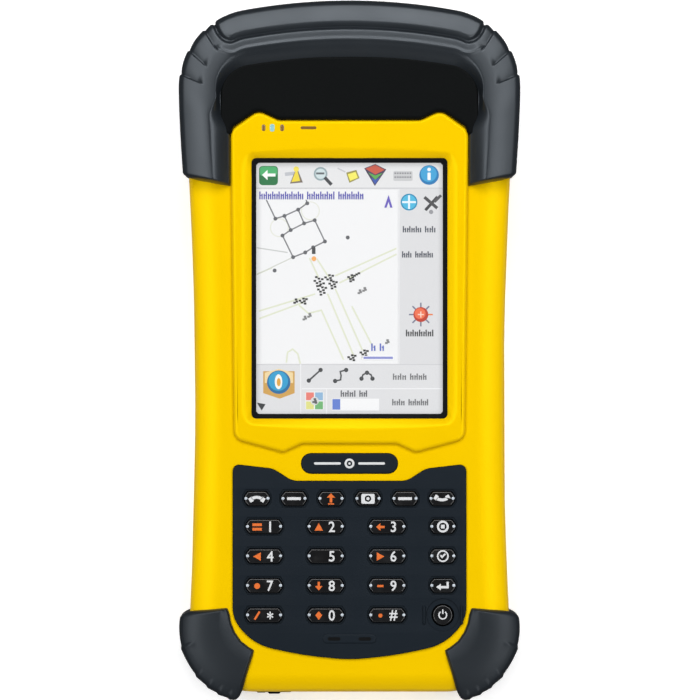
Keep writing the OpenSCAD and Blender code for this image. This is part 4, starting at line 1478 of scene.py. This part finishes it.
def camera():
    """A long lens straight above: 178.5 mm fill the view at 20 mm above the floor."""
    distance, view, sensor = 1.5, 0.1785, 36.0
    optics = bpy.data.cameras.new("camera")
    optics.sensor_width, optics.lens = sensor, sensor * distance / view
    optics.clip_start, optics.clip_end = 0.1, 10.0
    holder = placed("camera", optics)
    holder.location = (0.00013, 0.00013, distance + 0.02)
    bpy.context.scene.camera = holder


def stage():
    """Floor, camera, even pale surroundings, a long soft light on each side and one over each end."""
    floor()
    camera()
    world = bpy.data.worlds.new("surroundings")
    world.use_nodes = True
    back = world.node_tree.nodes["Background"]
    back.inputs["Color"].default_value = (0.97, 0.98, 1.0, 1.0)
    back.inputs["Strength"].default_value = 0.12
    bpy.context.scene.world = world
    bpy.context.scene.view_settings.view_transform = "Standard"
    for side in (-1, 1):
        strip_light("side_light", (side * 0.40, 0.0, 0.64), (0.9, 0.26), 3.3)
    strip_light("end_light", (0.0, 0.54, 0.70), (0.8, 0.30), 4.8)
    strip_light("near_light", (0.0, -0.90, 0.40), (0.8, 0.2), 0.4)


# ---------------------------------------------------------------- operators and panel


class BuildStage(bpy.types.Operator):
    """Sets the floor, the lights and the camera"""

    bl_idname = "collector.stage"
    bl_label = "Stage"

    def execute(self, context):
        stage()
        return {"FINISHED"}


class BuildCasing(bpy.types.Operator):
    """Builds the front casing and the raised surround of the display"""

    bl_idname = "collector.casing"
    bl_label = "Casing"

    def execute(self, context):
        front_casing()
        display_surround()
        lamps_and_receiver()
        return {"FINISHED"}


class BuildBumper(bpy.types.Operator):
    """Builds the rubber bumper of the antenna end and the cap inside it"""

    bl_idname = "collector.bumper"
    bl_label = "Antenna end"

    def execute(self, context):
        top_bumper()
        antenna_cap()
        return {"FINISHED"}


class BuildGuards(bpy.types.Operator):
    """Builds the two rubber guards of the bottom corners"""

    bl_idname = "collector.guards"
    bl_label = "Corner guards"

    def execute(self, context):
        corner_guards()
        return {"FINISHED"}


class BuildDisplay(bpy.types.Operator):
    """Builds the touch glass, its gasket and the lit picture"""

    bl_idname = "collector.display"
    bl_label = "Display"

    def execute(self, context):
        display()
        return {"FINISHED"}


class BuildKeypad(bpy.types.Operator):
    """Builds the keypad panel and the badge above it"""

    bl_idname = "collector.keypad"
    bl_label = "Keypad panel"

    def execute(self, context):
        keypad_panel()
        badge()
        return {"FINISHED"}


class BuildKeys(bpy.types.Operator):
    """Builds every key with its printed signs"""

    bl_idname = "collector.keys"
    bl_label = "Keys"

    def execute(self, context):
        keys()
        return {"FINISHED"}


class BuildCovers(bpy.types.Operator):
    """Finishes the rear casing, the battery door, covers, side controls, stylus and screws"""

    bl_idname = "collector.covers"
    bl_label = "Back and sides"

    def execute(self, context):
        plain_nodes()
        cover_ribs()
        return {"FINISHED"}


class BuildInsides(bpy.types.Operator):
    """Gives the pieces inside the casing their finishes"""

    bl_idname = "collector.insides"
    bl_label = "Insides"

    def execute(self, context):
        inside_nodes()
        return {"FINISHED"}


OPERATORS = (BuildStage, BuildCasing, BuildBumper, BuildGuards, BuildDisplay, BuildKeypad, BuildKeys,
             BuildCovers, BuildInsides)


class CollectorPanel(bpy.types.Panel):
    """Lists the sizes, the colours and the pieces of the data collector"""

    bl_idname = "VIEW3D_PT_collector"
    bl_label = "Data collector"
    bl_space_type = "VIEW_3D"
    bl_region_type = "UI"
    bl_category = "Collector"

    def draw(self, context):
        for group, kind in GROUPS.items():
            column = self.layout.box().column()
            for name in kind.__annotations__:
                column.prop(getattr(context.scene, group), name)
        for operator in OPERATORS:
            self.layout.operator(operator.bl_idname)


CLASSES = (*GROUPS.values(), *OPERATORS, CollectorPanel)


def register():
    """Registers every class and hangs the settings on the scene."""
    for one in CLASSES:
        bpy.utils.register_class(one)
    for group, kind in GROUPS.items():
        setattr(bpy.types.Scene, group, bpy.props.PointerProperty(type=kind))


def unregister():
    """Undoes register."""
    for group in GROUPS:
        delattr(bpy.types.Scene, group)
    for one in reversed(CLASSES):
        bpy.utils.unregister_class(one)


def main():
    """Registers the add-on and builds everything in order."""
    register()
    bpy.ops.collector.stage()
    bpy.ops.collector.casing()
    bpy.ops.collector.bumper()
    bpy.ops.collector.guards()
    bpy.ops.collector.display()
    bpy.ops.collector.keypad()
    bpy.ops.collector.keys()
    bpy.ops.collector.covers()
    bpy.ops.collector.insides()
    bpy.context.view_layer.update()


if __name__ == "__main__":
    main()
